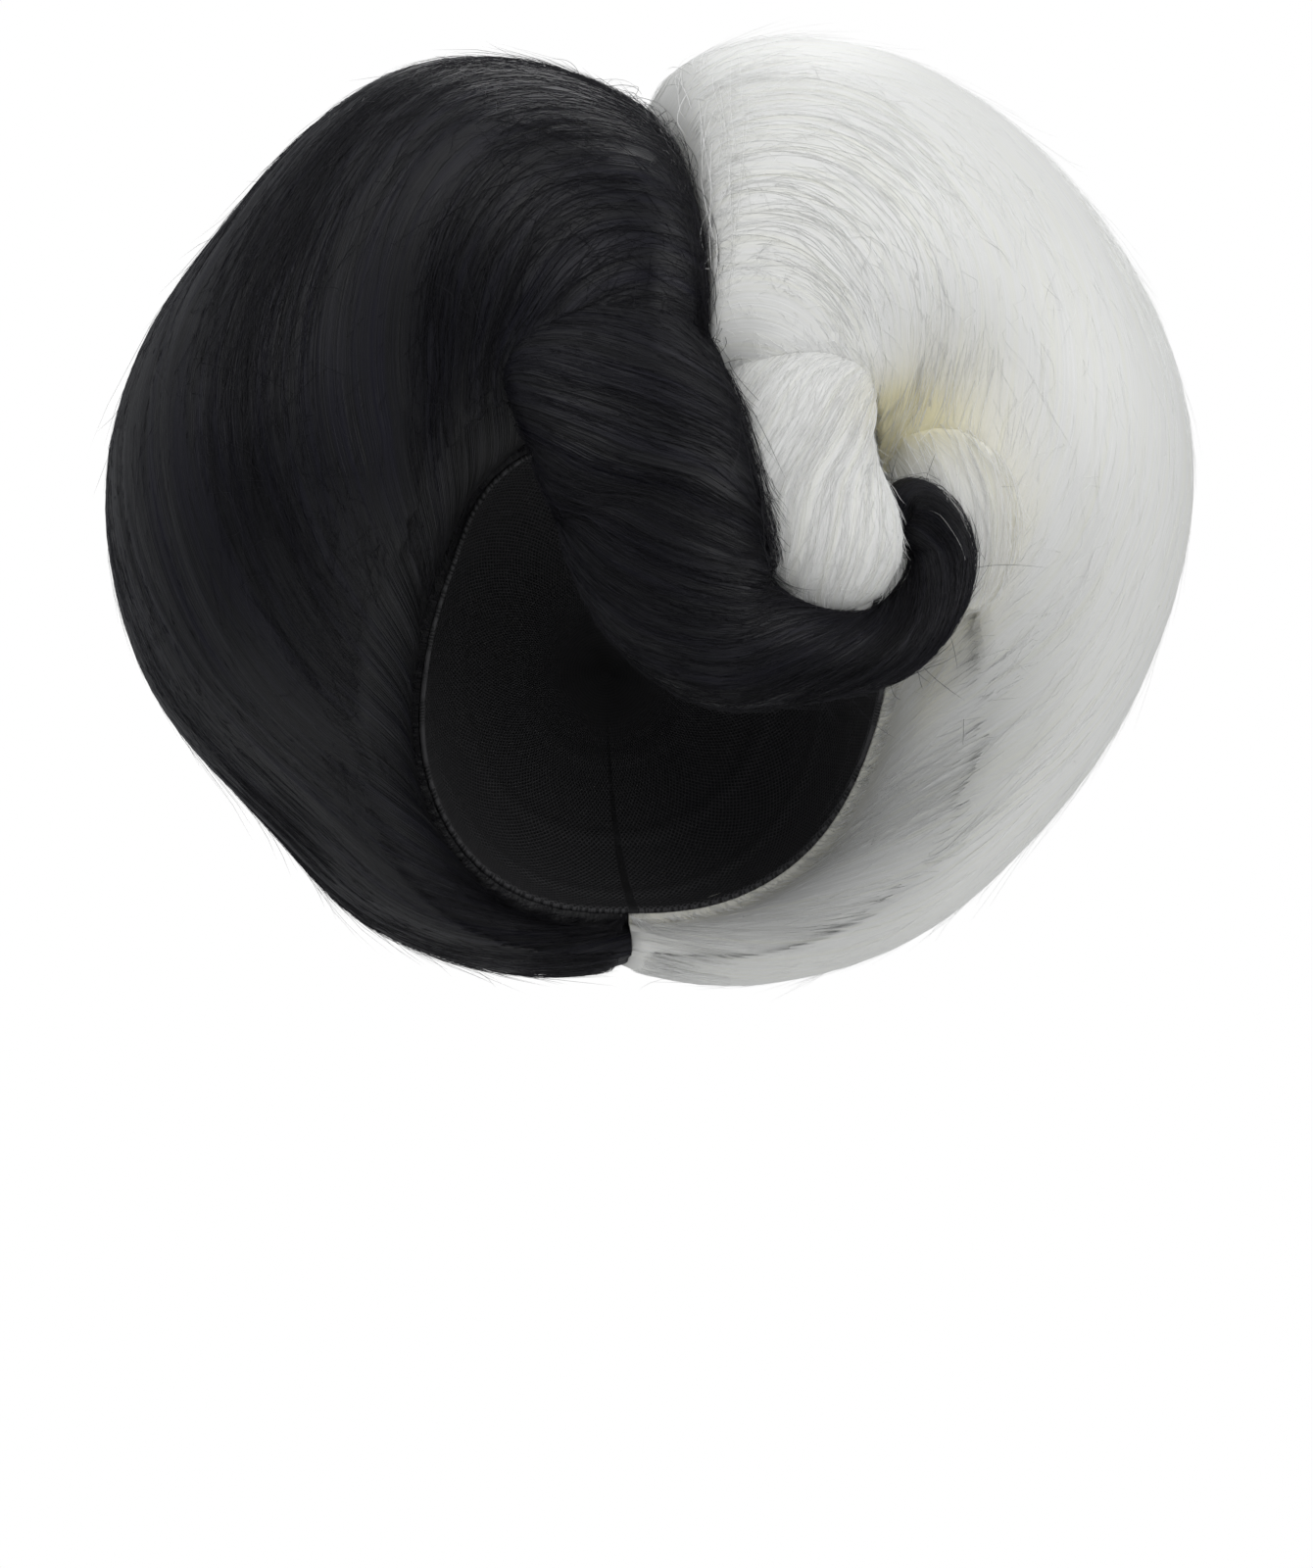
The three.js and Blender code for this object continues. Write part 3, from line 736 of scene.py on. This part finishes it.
def nearest(points, cloud, facing, block=1500):
    """The signed distance from each point to a surface known by a cloud of points, and the way that
    surface faces there. Under bell weights the distance is that to the plane through the mean of
    the cloud. The mean square distance to a flat sheet is the plane's plus twice the square of the
    bell's width; what exceeds that shows that the point lies beside the sheet, and is added."""
    flat = points.reshape(-1, 3)
    away, seen = np.full(len(flat), far_away), np.zeros(flat.shape)
    inside_box = ((flat > cloud.min(axis=0) - far_away) & (flat < cloud.max(axis=0) + far_away)).all(axis=1)
    cloud_square = (cloud**2).sum(1)[None, :]
    for ids in np.array_split(np.flatnonzero(inside_box), inside_box.sum() // block + 1):
        square = (flat[ids] ** 2).sum(1)[:, None] + cloud_square - 2 * flat[ids] @ cloud.T
        least = square.min(axis=1)
        near = least < far_away**2
        square, ids = square[near], ids[near]
        weight = np.exp(np.maximum(-(square - least[near][:, None]) / (2 * bell_width**2), -30))
        weight /= weight.sum(axis=1, keepdims=True)
        mean_facing = weight @ facing
        plane = ((flat[ids] - weight @ cloud) * unit(mean_facing)).sum(axis=1)
        beside = (weight * square).sum(axis=1) - 2 * bell_width**2 - plane**2 - edge_slack**2
        away[ids] = np.copysign(np.sqrt(plane**2 + np.maximum(beside, 0)), plane)
        seen[ids] = mean_facing
    return away.reshape(points.shape[:-1]), seen.reshape(points.shape)


def join(side, points, normal, cloud):
    """Moves points onto the smooth union and gives the share of ridges left. A point lies inside
    the union by the square of what its distance leaves of the reach, over four reaches, and moves
    out along the mix of both normals, divided by the square of the length of that mix."""
    away, seen = nearest(points, *cloud)
    reach = join_reach[side]
    inside = np.maximum(reach - np.abs(away), 0) ** 2 / (4 * reach)
    own_share = np.clip(0.5 + 0.5 * away / reach, 0, 1)[..., None]
    slope = own_share * normal + (1 - own_share) * seen
    steepness = np.maximum((slope**2).sum(axis=-1), least_steepness)
    kept = smooth_step(1 + away / (join_inside * reach))
    kept *= smooth_step(side * points[..., 0] / parting_clear)
    calm = calm_floor + (1 - calm_floor) * smooth_step(np.abs(away) / calm_reach)
    return points + slope * (kept * inside / steepness)[..., None], calm


turns_round = np.linspace(0, 2 * np.pi, 37)[None, :]


def lock_cloud_of(*parts):
    """Points and normals on some locks, each up to a place along it."""
    made = [lock.surface(np.linspace(0, end, 56)[:, None], turns_round) for lock, end in parts]
    return tuple(np.concatenate([pair[k].reshape(-1, 3) for pair in made]) for k in (0, 1))


def half_cloud_of(side):
    """Points and normals on a half, as far as its locks are near."""
    starts, s = np.broadcast_arrays(np.linspace(0, 0.6, 80)[:, None], np.linspace(0, 1, 110)[None, :])
    point, normal = half_point(side, starts, s).reshape(-1, 3), half_normal(side, starts, s).reshape(-1, 3)
    near = np.abs(nearest(point, *lock_cloud[side])[0]) < far_away
    return point[near], normal[near]


lock_cloud = {-1: lock_cloud_of((black_lock, 0.6)), 1: lock_cloud_of((white_lock, 1), (temple_lock, 1))}
half_cloud = {side: half_cloud_of(side) for side in (-1, 1)}


def half_surface(side, start, s):
    """A half's skin, joined to its locks, its normals and the share of ridges left."""
    skin, normal = half_point(side, start, s), half_normal(side, start, s)
    joined, calm = join(side, skin, normal, lock_cloud[side])
    return joined, normal, calm


def lock_surface(lock, t, turn):
    """A lock's skin, joined to its half, its normals and the share of ridges left."""
    skin, normal = lock.surface(t, turn)
    joined, calm = join(lock.side, skin, normal, half_cloud[lock.side])
    return joined, normal, calm


print("points in the clouds", [len(cloud[side][0]) for cloud in (lock_cloud, half_cloud) for side in (-1, 1)])

# %% [markdown]
# Each half is a closed shell. Its outer skin is a fine grid on the flow lines, pushed out and in by
# the ridges. Its inner side lies on the cap, out of sight, so a coarse grid does, and strips of
# triangles join the two along the parting, the hairline and the nape.

# %% The two halves
half_columns, half_rows = 661, 67
coarse_columns, coarse_rows = 67, 12
# Painted shade: its share at the hairline of each half, and how strongly the hollows take it.
hairline_shade = {-1: 0.7, 1: 0.25}
hollow_shade_gain, hollow_shade_start = 2.2, 0.08
edge_fade_along = 0.07
# The most cream painted shade in the recess beside the white forelock.
most_recess_shade = 0.9
pole_fade_start = 0.03
# Middle and reach of that cream painted shade.
recess_shade_middle = np.array([64, -95, -11]) * mm
recess_shade_reach = np.array([13, 20, 7]) * mm


def painted_shade_share(side, angle, along):
    """How much painted shade the hair gets: full in the hollows, and fading in from the hairline."""
    hollow = np.clip(hollow_shade_gain * dent_share(side, angle, along) - hollow_shade_start, 0, 1)
    near_edge = np.clip(1 - along / edge_fade_along, 0, 1)
    return np.clip(hollow + hairline_shade[side] * near_edge**1.5, 0, 1)


def recess_shade_share(side, points):
    """How much cream painted shade the white hair gets in the recess beside its forelock: a bell round its
    middle.
    """
    if side < 0:
        return np.zeros(points.shape[:-1])
    return most_recess_shade * np.exp(-((points - recess_shade_middle) ** 2 / (2 * recess_shade_reach**2)).sum(axis=-1))


def half_of_hair(name, side, seed, relief, soft):
    """A closed shell on a grid of flow lines, with ridges along them."""
    start = start_at(np.linspace(0, 1, half_columns))[None, :]
    s = np.linspace(0, 1, half_rows)[:, None]
    start, s = np.broadcast_arrays(start, s)
    angle, along = flow(side, start, s)
    skin, normal, calm = half_surface(side, start, s)
    run = np.linalg.norm(np.diff(skin, axis=0), axis=-1)
    run = np.concatenate([np.zeros((1, half_columns)), np.cumsum(run, axis=0)])
    across = np.broadcast_to(np.linspace(0, profile_length[-1], half_columns)[None, :], run.shape)
    pole_fade = np.clip((1 - start) / pole_fade_start, 0, 1)
    outer = skin + normal * (relief * calm * ridge_height(across, run, seed, soft) * pole_fade)[..., None]
    thin = np.ix_(np.linspace(0, half_rows - 1, coarse_rows).astype(int),
                  np.linspace(0, half_columns - 1, coarse_columns).astype(int))
    inner = over_cap(side, angle[thin], along[thin], cap_thickness + piece_gap)
    inner[..., 0] += side * piece_gap / 2
    first = half_rows * half_columns
    outer_ids = np.arange(first).reshape(half_rows, half_columns)
    inner_ids = first + np.arange(coarse_rows * coarse_columns).reshape(coarse_rows, coarse_columns)
    triangles = np.concatenate([
        grid_triangles(half_rows, half_columns),
        grid_triangles(coarse_rows, coarse_columns, first),
        stitch(outer_ids[0], inner_ids[0]),
        stitch(outer_ids[-1], inner_ids[-1]),
        stitch(outer_ids[:, 0], inner_ids[:, 0]),
        stitch(outer_ids[:, -1], inner_ids[:, -1]),
    ])
    # Painted shade at the hairline and in the hollows, and on the white half in the recess beside the
    # forelock.
    deep = np.clip(painted_shade_share(side, angle, along) + recess_shade_share(side, skin), 0, 1)
    flow_uv = np.stack([across, run], -1)
    uv = np.concatenate([flow_uv.reshape(-1, 2), flow_uv[thin].reshape(-1, 2)])
    values = {"deep": np.concatenate([deep.ravel(), np.full(inner[..., 0].size, hairline_shade[side])])}
    vertices = np.concatenate([outer.reshape(-1, 3), inner.reshape(-1, 3)])
    return mesh_object(name, vertices, triangles, uv, values, merge=True)


made = half_of_hair("black_half_hair", -1, 11, 0.85, 1.3)
dress(made, black_hair, "black_hair", "black_bouffant")
made = half_of_hair("white_half_hair", 1, 31, 0.17, 4.0)
dress(made, white_hair, "white_hair", "white_bouffant")
print("halves", triangle_count)

# %% [markdown]
# The locks are built in the same way, on their wound grids. The noise that makes the ridges has to
# meet itself after one turn, so over the last part of each turn it is blended into the noise of the
# turn before.

# %% The three locks
seam_share = 0.15
end_fade_share = 0.04


def lock_of_hair(name, lock, around, rings, seed, relief, join_shade=0.0):
    """A closed roll on a wound grid, with ridges along the wound hair. The last argument is how much
    painted shade its hair gets right at the join, in the crease with its half."""
    t = np.linspace(-lock_cap_share, 1 + lock_cap_share, rings)[:, None]
    base = np.linspace(0, 2 * np.pi, around + 1)[None, :]
    t, base = np.broadcast_arrays(t, base)
    skin, normal, calm = lock_surface(lock, t, base + lock.wound(t))
    along = np.interp(t, lock.places, lock.run)
    once_round = 2 * np.pi * lock.girth.mean()
    across = base / (2 * np.pi) * once_round
    blend = np.clip((base / (2 * np.pi) - (1 - seam_share)) / seam_share, 0, 1)
    height = ridge_height(across, along, seed) * (1 - blend)
    height += ridge_height(across - once_round, along, seed) * blend
    end_fade = np.clip(np.minimum(t, 1 - t) / end_fade_share, 0, 1)
    outer = skin + normal * (relief * calm * height * end_fade)[..., None]
    # Painted shade in the crease at the join, and on white locks in the recess beside the white forelock.
    deep = join_shade * (1 - calm) / (1 - calm_floor) + recess_shade_share(lock.side, skin)
    uv = np.stack([across, along], -1).reshape(-1, 2)
    return mesh_object(name, outer.reshape(-1, 3), grid_triangles(rings, around + 1), uv,
                       {"deep": np.clip(deep, 0, 1).ravel()}, merge=True)


made = lock_of_hair("black_forelock_hair", black_lock, 160, 190, 51, 0.6)
dress(made, black_hair, "black_hair", "black_forelock")
made = lock_of_hair("white_forelock_hair", white_lock, 130, 100, 61, 0.16)
dress(made, white_hair, "white_hair", "white_forelock")
made = lock_of_hair("white_temple_hair", temple_lock, 90, 70, 71, 0.16, 0.3)
dress(made, white_hair, "white_hair", "white_temple_lock")
print("locks", {k: v for k, v in triangle_count.items() if "half" not in k})

# %% [markdown]
# The cap is what holds the hair: a stretch net, hidden in wear and seen here from below. It is a
# shell between two grids on the head, with a rolled hem and with the sewn rows that hold the hair
# as low ribs on its inner side.

# %% The net cap
cap_around, cap_down = 161, 91
rib_count = 10
rib_height = 0.7 * mm
hem_width = 0.035
hem_height = 0.5 * mm


def cap_material():
    """A dark net: a fine lattice of two crossed waves on the cap's own UV, in metres."""
    material, tree, shader = new_material("cap_net", roughness=0.75)
    uv = add_node(tree, "UVMap", uv_map="flow").outputs["UV"]
    waves = {}
    for which, turn in enumerate((45, -45)):
        turned = add_node(tree, "Mapping", {"Rotation": (0, 0, math.radians(turn)), "Vector": uv})
        wave = add_node(tree, "TexWave", {"Scale": 210, "Distortion": 0, "Vector": turned.outputs["Vector"]})
        waves[which] = wave.outputs["Fac"]
    highest = add_node(tree, "Math", waves, operation="MAXIMUM").outputs[0]
    colour = ramp(tree, highest, (0.006, 0.006, 0.007), (0.045, 0.044, 0.047), 0.55, 0.95)
    tree.links.new(colour, shader["Base Color"])
    bump = add_node(tree, "Bump", {"Distance": 0.4 * mm, "Height": highest})
    tree.links.new(bump.outputs["Normal"], shader["Normal"])
    return material


def cap_shell():
    """Two grids on the head from hairline to back, the inner one raised into ribs and a hem."""
    half_turn = np.linspace(0, 180, cap_around // 2 + 1)
    side = np.concatenate([-np.ones(len(half_turn)), np.ones(len(half_turn) - 1)])
    angle = np.concatenate([half_turn, half_turn[::-1][1:]])
    along = np.linspace(0, 1, cap_down) ** 0.9
    edge_turn = section_value("edge", angle)[:, None]
    turned = edge_turn + (180 - edge_turn) * along[None, :]
    angle_grid = np.broadcast_to(angle[:, None], turned.shape)

    def layer(lift):
        points = on_head(1, angle_grid, turned, 0.0)
        points[..., 0] *= side[:, None]
        return points + unit(points - head_middle) * lift[..., None]

    heights = turned / 180 * rib_count * np.pi
    rib = np.clip(np.cos(2 * heights) * 3 - 2, 0, 1) * np.clip((along - 0.06) / 0.03, 0, 1)
    hem = np.clip(1 - np.abs(along / hem_width - 0.5) * 2, 0, 1) ** 0.5 * np.ones_like(rib)
    inner = layer(-rib_height * rib - hem_height * hem)
    outer = layer(np.full(turned.shape, cap_thickness))
    count = turned.size
    ids = np.arange(count).reshape(turned.shape)
    rim = np.concatenate([
        np.stack([ids[:-1, 0], ids[1:, 0], ids[1:, 0] + count], 1),
        np.stack([ids[:-1, 0], ids[1:, 0] + count, ids[:-1, 0] + count], 1),
    ])
    triangles = np.concatenate([grid_triangles(*turned.shape), grid_triangles(*turned.shape, count), rim])
    girth = np.radians(angle_grid) * side[:, None] * head_half[0]
    uv = np.stack([girth, np.radians(turned) * head_half[1]], -1).reshape(-1, 2)
    vertices = np.concatenate([inner.reshape(-1, 3), outer.reshape(-1, 3)])
    return mesh_object("net_cap", vertices, triangles, np.concatenate([uv, uv]), merge=True)


dress(cap_shell(), cap_material(), "cap_net", "wig_cap")
print("cap", triangle_count["net_cap"])

# %% [markdown]
# Last come single strands, which make a smooth mass read as hair. A strand is a three-sided tube
# that tapers to a point at both ends, so it is closed and still costs few faces. Thousands are made
# as one joined mesh from arrays: strands that lie on the skin along the flow, and short flyaway
# ones that lift off it and blur the outline.

# %% Strand helpers
root_taper, tip_taper, thinnest = 0.12, 0.35, 0.25
shade_spread = (1.3, 2.2)
rise_share = 0.1
flare_power = 2.2
most_stand_off = 7 * mm  # no strand lifts further than this off the hair below it


def strand_mesh(name, paths, normals, radius, shade):
    """Joined closed strands. paths and normals are arrays of strands by stations by 3; each ring
    has three points round the path, and the two end stations are single points."""
    strands, stations, _ = paths.shape
    ahead = unit(np.gradient(paths, axis=1))
    up = unit(normals - (normals * ahead).sum(axis=-1, keepdims=True) * ahead)
    aside = np.cross(ahead, up)
    place = np.linspace(0, 1, stations)
    taper = np.clip(np.minimum(place / root_taper, (1 - place) / tip_taper), 0, 1) ** 0.6
    thickness = radius[:, None] * np.maximum(taper, thinnest)[None, :]
    turns = np.radians([90, 210, 330])
    rings = (
        paths[:, 1:-1, None, :]
        + aside[:, 1:-1, None, :] * (np.cos(turns)[None, None, :, None] * thickness[:, 1:-1, None, None])
        + up[:, 1:-1, None, :] * (np.sin(turns)[None, None, :, None] * thickness[:, 1:-1, None, None])
    )
    middle = stations - 2
    per = 3 * middle + 2
    vertices = np.concatenate([paths[:, :1], rings.reshape(strands, -1, 3), paths[:, -1:]], axis=1)
    k, m = np.meshgrid(np.arange(3), np.arange(middle - 1), indexing="ij")
    a = (1 + 3 * m + k).ravel()
    b = (1 + 3 * m + (k + 1) % 3).ravel()
    tube = np.concatenate([np.stack([a, b, b + 3], 1), np.stack([a, b + 3, a + 3], 1)])
    r = np.arange(3)
    root = np.stack([np.zeros(3, int), 1 + (r + 1) % 3, 1 + r], 1)
    last = 1 + 3 * (middle - 1)
    tip = np.stack([np.full(3, per - 1), last + r, last + (r + 1) % 3], 1)
    pattern = np.concatenate([root, tube, tip])
    triangles = (pattern[None] + (np.arange(strands) * per)[:, None, None]).reshape(-1, 3)
    v = np.concatenate([[0], np.repeat(place[1:-1], 3), [1]])
    uv = np.stack([np.broadcast_to(shade[:, None], (strands, per)), np.broadcast_to(v, (strands, per))], -1)
    values = {"shade": np.broadcast_to(shade[:, None], (strands, per)).ravel()}
    return mesh_object(name, vertices.reshape(-1, 3), triangles, uv.reshape(-1, 2), values)


def strand_material(name, dark, light, **fixed):
    """One colour for each strand, between two, by its shade attribute."""
    material, tree, shader = new_material(name, **fixed)
    shade = add_node(tree, "Attribute", attribute_name="shade").outputs["Fac"]
    tree.links.new(ramp(tree, shade, dark, light, 0, 1), shader["Base Color"])
    return material


# The white strands are painted lighter than the white hair under them: painted light that makes up for the
# shade on their own sides.
strand_look = {
    "black": strand_material("black_strand", (0.002, 0.002, 0.003), (0.022, 0.021, 0.028),
                             roughness=0.4, specular_ior_level=0.25, sheen_weight=0.0),
    "white": strand_material("white_strand", (0.88, 0.88, 0.86), (0.96, 0.96, 0.955),
                             roughness=0.45, specular_ior_level=0.35, sheen_weight=0.15),
}


def many_strands(name, colour, rng, paths, normals, radius):
    """Strands of one colour, each with its own radius and shade, drawn and dressed."""
    count = len(paths)
    made = strand_mesh(name, paths, normals, rng.uniform(*radius, count), rng.beta(*shade_spread, count))
    dress(made, strand_look[colour], colour + "_hair")


def laid_out(rng, count, stations, span, places, rooted):
    """Stations from nought to one and the places they stand for. Each strand covers a part drawn
    from a span and begins anywhere it fits; a share of them, rooted, begins at the first place."""
    part = rng.uniform(*span, count)[:, None]
    room_left = np.maximum(places[1] - places[0] - part, 0)
    begin = places[0] + rng.uniform(-rooted, 1, count).clip(0)[:, None] * room_left
    station = np.linspace(0, 1, stations)[None, :]
    return station, begin + part * station


def swaying(rng, count, spread, waves, station):
    """A sine along each strand, with a height from a normal draw and a number of half waves."""
    height, number = rng.normal(0, spread, count)[:, None], rng.uniform(*waves, count)[:, None]
    return height * np.sin(np.pi * station * number)


def lifted(rng, count, place, lift, flare):
    """Heights along strands: a lift that begins within the first tenth, and a flare that grows with
    a power of the place, drawn from an exponential and cut off at the most a strand stands off."""
    height = rng.uniform(*lift, count)[:, None] * np.clip(place / rise_share, 0.1, 1)
    return height + np.minimum(rng.exponential(flare, count), most_stand_off)[:, None] * place**flare_power


def skin_strands(name, side, colour, count, stations, seed, span, drift, lift, flare, radius,
                 starts=(0.01, 0.97), places=(0.0, 1.0)):
    """Strands on a half: each follows its flow line over a part of it, drifts a little to the side
    and stands off the skin. A share of them start right at the parting."""
    rng = np.random.default_rng(seed)
    start = start_at(rng.uniform(*starts, count))[:, None]
    station, s = laid_out(rng, count, stations, span, places, rooted_share)
    wander = rng.normal(0, drift, count)[:, None] * (station - 0.3)
    start = start + wander + swaying(rng, count, 0.5 * drift, (1, 2.5), station)
    points, normal, _ = half_surface(side, np.clip(start, 0.002, 0.998), np.clip(s, 0, 1))
    paths = points + normal * lifted(rng, count, station, lift, flare)[..., None]
    many_strands(name, colour, rng, paths, normal, radius)


def lock_strands(name, lock, colour, count, stations, seed, span, lift, flare, radius,
                 places=(0.0, 1.0), facing=None, follow=1.0):
    """Strands on a lock: they turn round it as its hair does, or run straight down one side of it
    where follow is nought and facing gives the turn and its spread."""
    rng = np.random.default_rng(seed)
    station, t = laid_out(rng, count, stations, span, places, 0)
    turn = rng.uniform(0, 2 * np.pi, count) if facing is None else rng.normal(*facing, count)
    turn = turn[:, None] + follow * (lock.wound(t) - lock.wound(t[:, :1]))
    points, normal, _ = lock_surface(lock, t, turn + swaying(rng, count, 0.12, (0.8, 2.2), station))
    paths = points + normal * lifted(rng, count, station, lift, flare)[..., None]
    many_strands(name, colour, rng, paths, normal, radius)


def parting_wisps(side, colour, count, seed, height):
    """Loose hairs along the parting: they run with the parting's edge, bow out over it by up to a
    height, and lie down again."""
    rng = np.random.default_rng(seed)
    place = np.linspace(0, 1, 9)[None, :]
    start = rng.uniform(0, 0.5, count)[:, None] + rng.uniform(-0.09, 0.09, count)[:, None] * place
    s = rng.uniform(0.005, 0.07, count)[:, None] + rng.normal(0, 0.012, count)[:, None] * place
    points, normal, _ = half_surface(side, np.clip(start, 0.002, 0.6), np.clip(s, 0.002, 1))
    most = rng.uniform(0.1, 1, count)[:, None] ** 2 * height
    bow = most * np.sin(np.pi * place * rng.uniform(0.6, 1, count)[:, None])
    aside = np.array([-side, 0, 0]) * (bow * rng.uniform(0.2, 1, count)[:, None])[..., None]
    paths = points + normal * bow[..., None] + aside
    many_strands(colour + "_parting_wisps", colour, rng, paths, normal, (0.05 * mm, 0.1 * mm))


def edge_strands(side, colour, count, seed):
    """Hairs that leave the cap's hem: each starts on the hem, steps over the edge of the mass and
    lies on the skin along its flow line."""
    rng = np.random.default_rng(seed)
    start = start_at(rng.uniform(0.003, 0.995, count))[:, None]
    place = np.linspace(0, 1, 7)[None, :]
    s = 1 - rng.uniform(0.06, 0.16, count)[:, None] * np.clip(place - 0.12, 0, 1)
    start, s = np.broadcast_arrays(start + rng.normal(0, 0.012, count)[:, None] * place, s)
    start = np.clip(start, 0.001, 0.999)
    points, normal, _ = half_surface(side, start, s)
    angle, along = flow(side, start, s)
    hem = over_cap(side, angle, along, 1 * mm)
    near_hem = np.clip(1 - place / 0.3, 0, 1)[..., None]
    lift = rng.uniform(0.2 * mm, 1.4 * mm, count)[:, None] * np.sin(np.pi * np.clip(place, 0.05, 0.9))
    paths = (points + normal * lift[..., None]) * (1 - near_hem) + hem * near_hem
    many_strands(colour + "_edge_strands", colour, rng, paths, normal, (0.07 * mm, 0.13 * mm))


# %% [markdown]
# Each row of the tables below is one mesh of strands. The long ones carry the combing, the short
# ones, fuzz, blur the surface and the outline, and the wisps are loose hairs at the parting and at
# the edge of the forelock. White hair is finer combed: its strands lie closer and drift less.

# %% Strands on the halves
rooted_share = 0.2
drift = {"black": 0.016, "white": 0.008}
close = {"black": (0.1 * mm, 0.7 * mm), "white": (0.02 * mm, 0.14 * mm)}
long_flare = {"black": 0.3 * mm, "white": 0.08 * mm}
long_radius, fuzz_radius = (0.055 * mm, 0.11 * mm), (0.045 * mm, 0.08 * mm)
all_starts = (0.01, 0.998)
for colour, side, seed in (("black", -1, 100), ("white", 1, 200)):
    edge_strands(side, colour, 1300, seed + 4)
    skin_strands(colour + "_strands", side, colour, 1500, 10, seed + 1, (0.25, 0.8), drift[colour],
                 close[colour], long_flare[colour], long_radius, all_starts)
    skin_strands(colour + "_fuzz", side, colour, 4400, 5, seed + 2, (0.04, 0.14), 1.25 * drift[colour],
                 close[colour], 1.5 * mm, fuzz_radius, all_starts)
skin_strands("white_hem_strands", 1, "white", 700, 8, 205, (0.08, 0.26), 0.012, close["white"], 0.1 * mm,
             (0.05 * mm, 0.1 * mm), (0.05, 0.9), (0.68, 1.0))
parting_wisps(-1, "black", 420, 301, 4 * mm)
parting_wisps(1, "white", 160, 302, 2 * mm)
print("strands on the halves", {k: v for k, v in triangle_count.items() if "_s" in k or "wisps" in k})

# %% Strands on the locks
down_one_side = {"black_edge_wisps": {"facing": (np.pi, 0.3), "follow": 0.0}}
# Name, lock, count, stations, seed and span; then lift, flare and radius in mm; then places.
lock_rows = (
    ("black_lock_strands", black_lock, 1100, 10, 401, (0.12, 0.4), (0.2, 0.9), 0.5, (0.06, 0.12), (0.06, 1)),
    ("black_lock_fuzz", black_lock, 1500, 5, 402, (0.02, 0.07), (0.1, 0.8), 1.5, (0.045, 0.08), (0.1, 1)),
    ("black_edge_wisps", black_lock, 260, 10, 403, (0.08, 0.22), (0.3, 2.4), 3.2, (0.06, 0.1), (0.16, 0.6)),
    ("white_lock_strands", white_lock, 700, 10, 411, (0.15, 0.5), (0.05, 0.3), 0.2, (0.05, 0.1), (0.06, 1)),
    ("white_lock_fuzz", white_lock, 900, 5, 412, (0.04, 0.12), (0.1, 0.8), 1.3, (0.045, 0.08), (0.06, 1)),
    ("white_temple_strands", temple_lock, 400, 10, 421, (0.2, 0.6), (0.2, 1.2), 1.2, (0.05, 0.1), (0, 1)),
    ("white_temple_fuzz", temple_lock, 900, 5, 422, (0.06, 0.2), (0.1, 0.8), 2.6, (0.045, 0.08), (0, 1)),
    ("white_over_curl", black_lock, 9, 10, 431, (0.05, 0.12), (0.5, 1.8), 1, (0.035, 0.055), (0.72, 1)),
)
for name, lock, count, stations, seed, span, lift, flare, radius, places in lock_rows:
    lift, radius = np.array([lift, radius]) * mm
    lock_strands(name, lock, name[:5], count, stations, seed, span, lift, flare * mm, radius, places,
                 **down_one_side.get(name, {}))
skin_strands("black_over_white", 1, "black", 5, 12, 432, (0.1, 0.25), 0.012, (0.4 * mm, 1.2 * mm), 0.6 * mm,
             (0.04 * mm, 0.06 * mm), (0.02, 0.12), (0.02, 0.4))


def stray_hairs(name, lock, colour, count, seed, places, facing, length):
    """Short hairs that stick out of a lock: each leaves at a slant to the skin and bends on the way
    by a share of the square of the place."""
    rng = np.random.default_rng(seed)
    t, turn = rng.uniform(*places, (count, 1)), rng.normal(*facing, (count, 1))
    root, normal, _ = lock_surface(lock, t, turn)
    aside, bend = rng.normal(0, 1, (2, count, 1, 3))
    place = np.linspace(0, 1, 9)[None, :, None]
    reach = rng.uniform(*length, count)[:, None, None]
    paths = root + reach * (unit(normal + 0.35 * aside) * place + 0.55 * unit(bend) * place**2)
    many_strands(name, colour, rng, paths, np.broadcast_to(normal, paths.shape), (0.05 * mm, 0.08 * mm))


stray_hairs("curl_strays", black_lock, "black", 44, 441, (0.6, 1.0), (0, 1.2), (5 * mm, 19 * mm))
print("triangles", sum(triangle_count.values()), triangle_count)
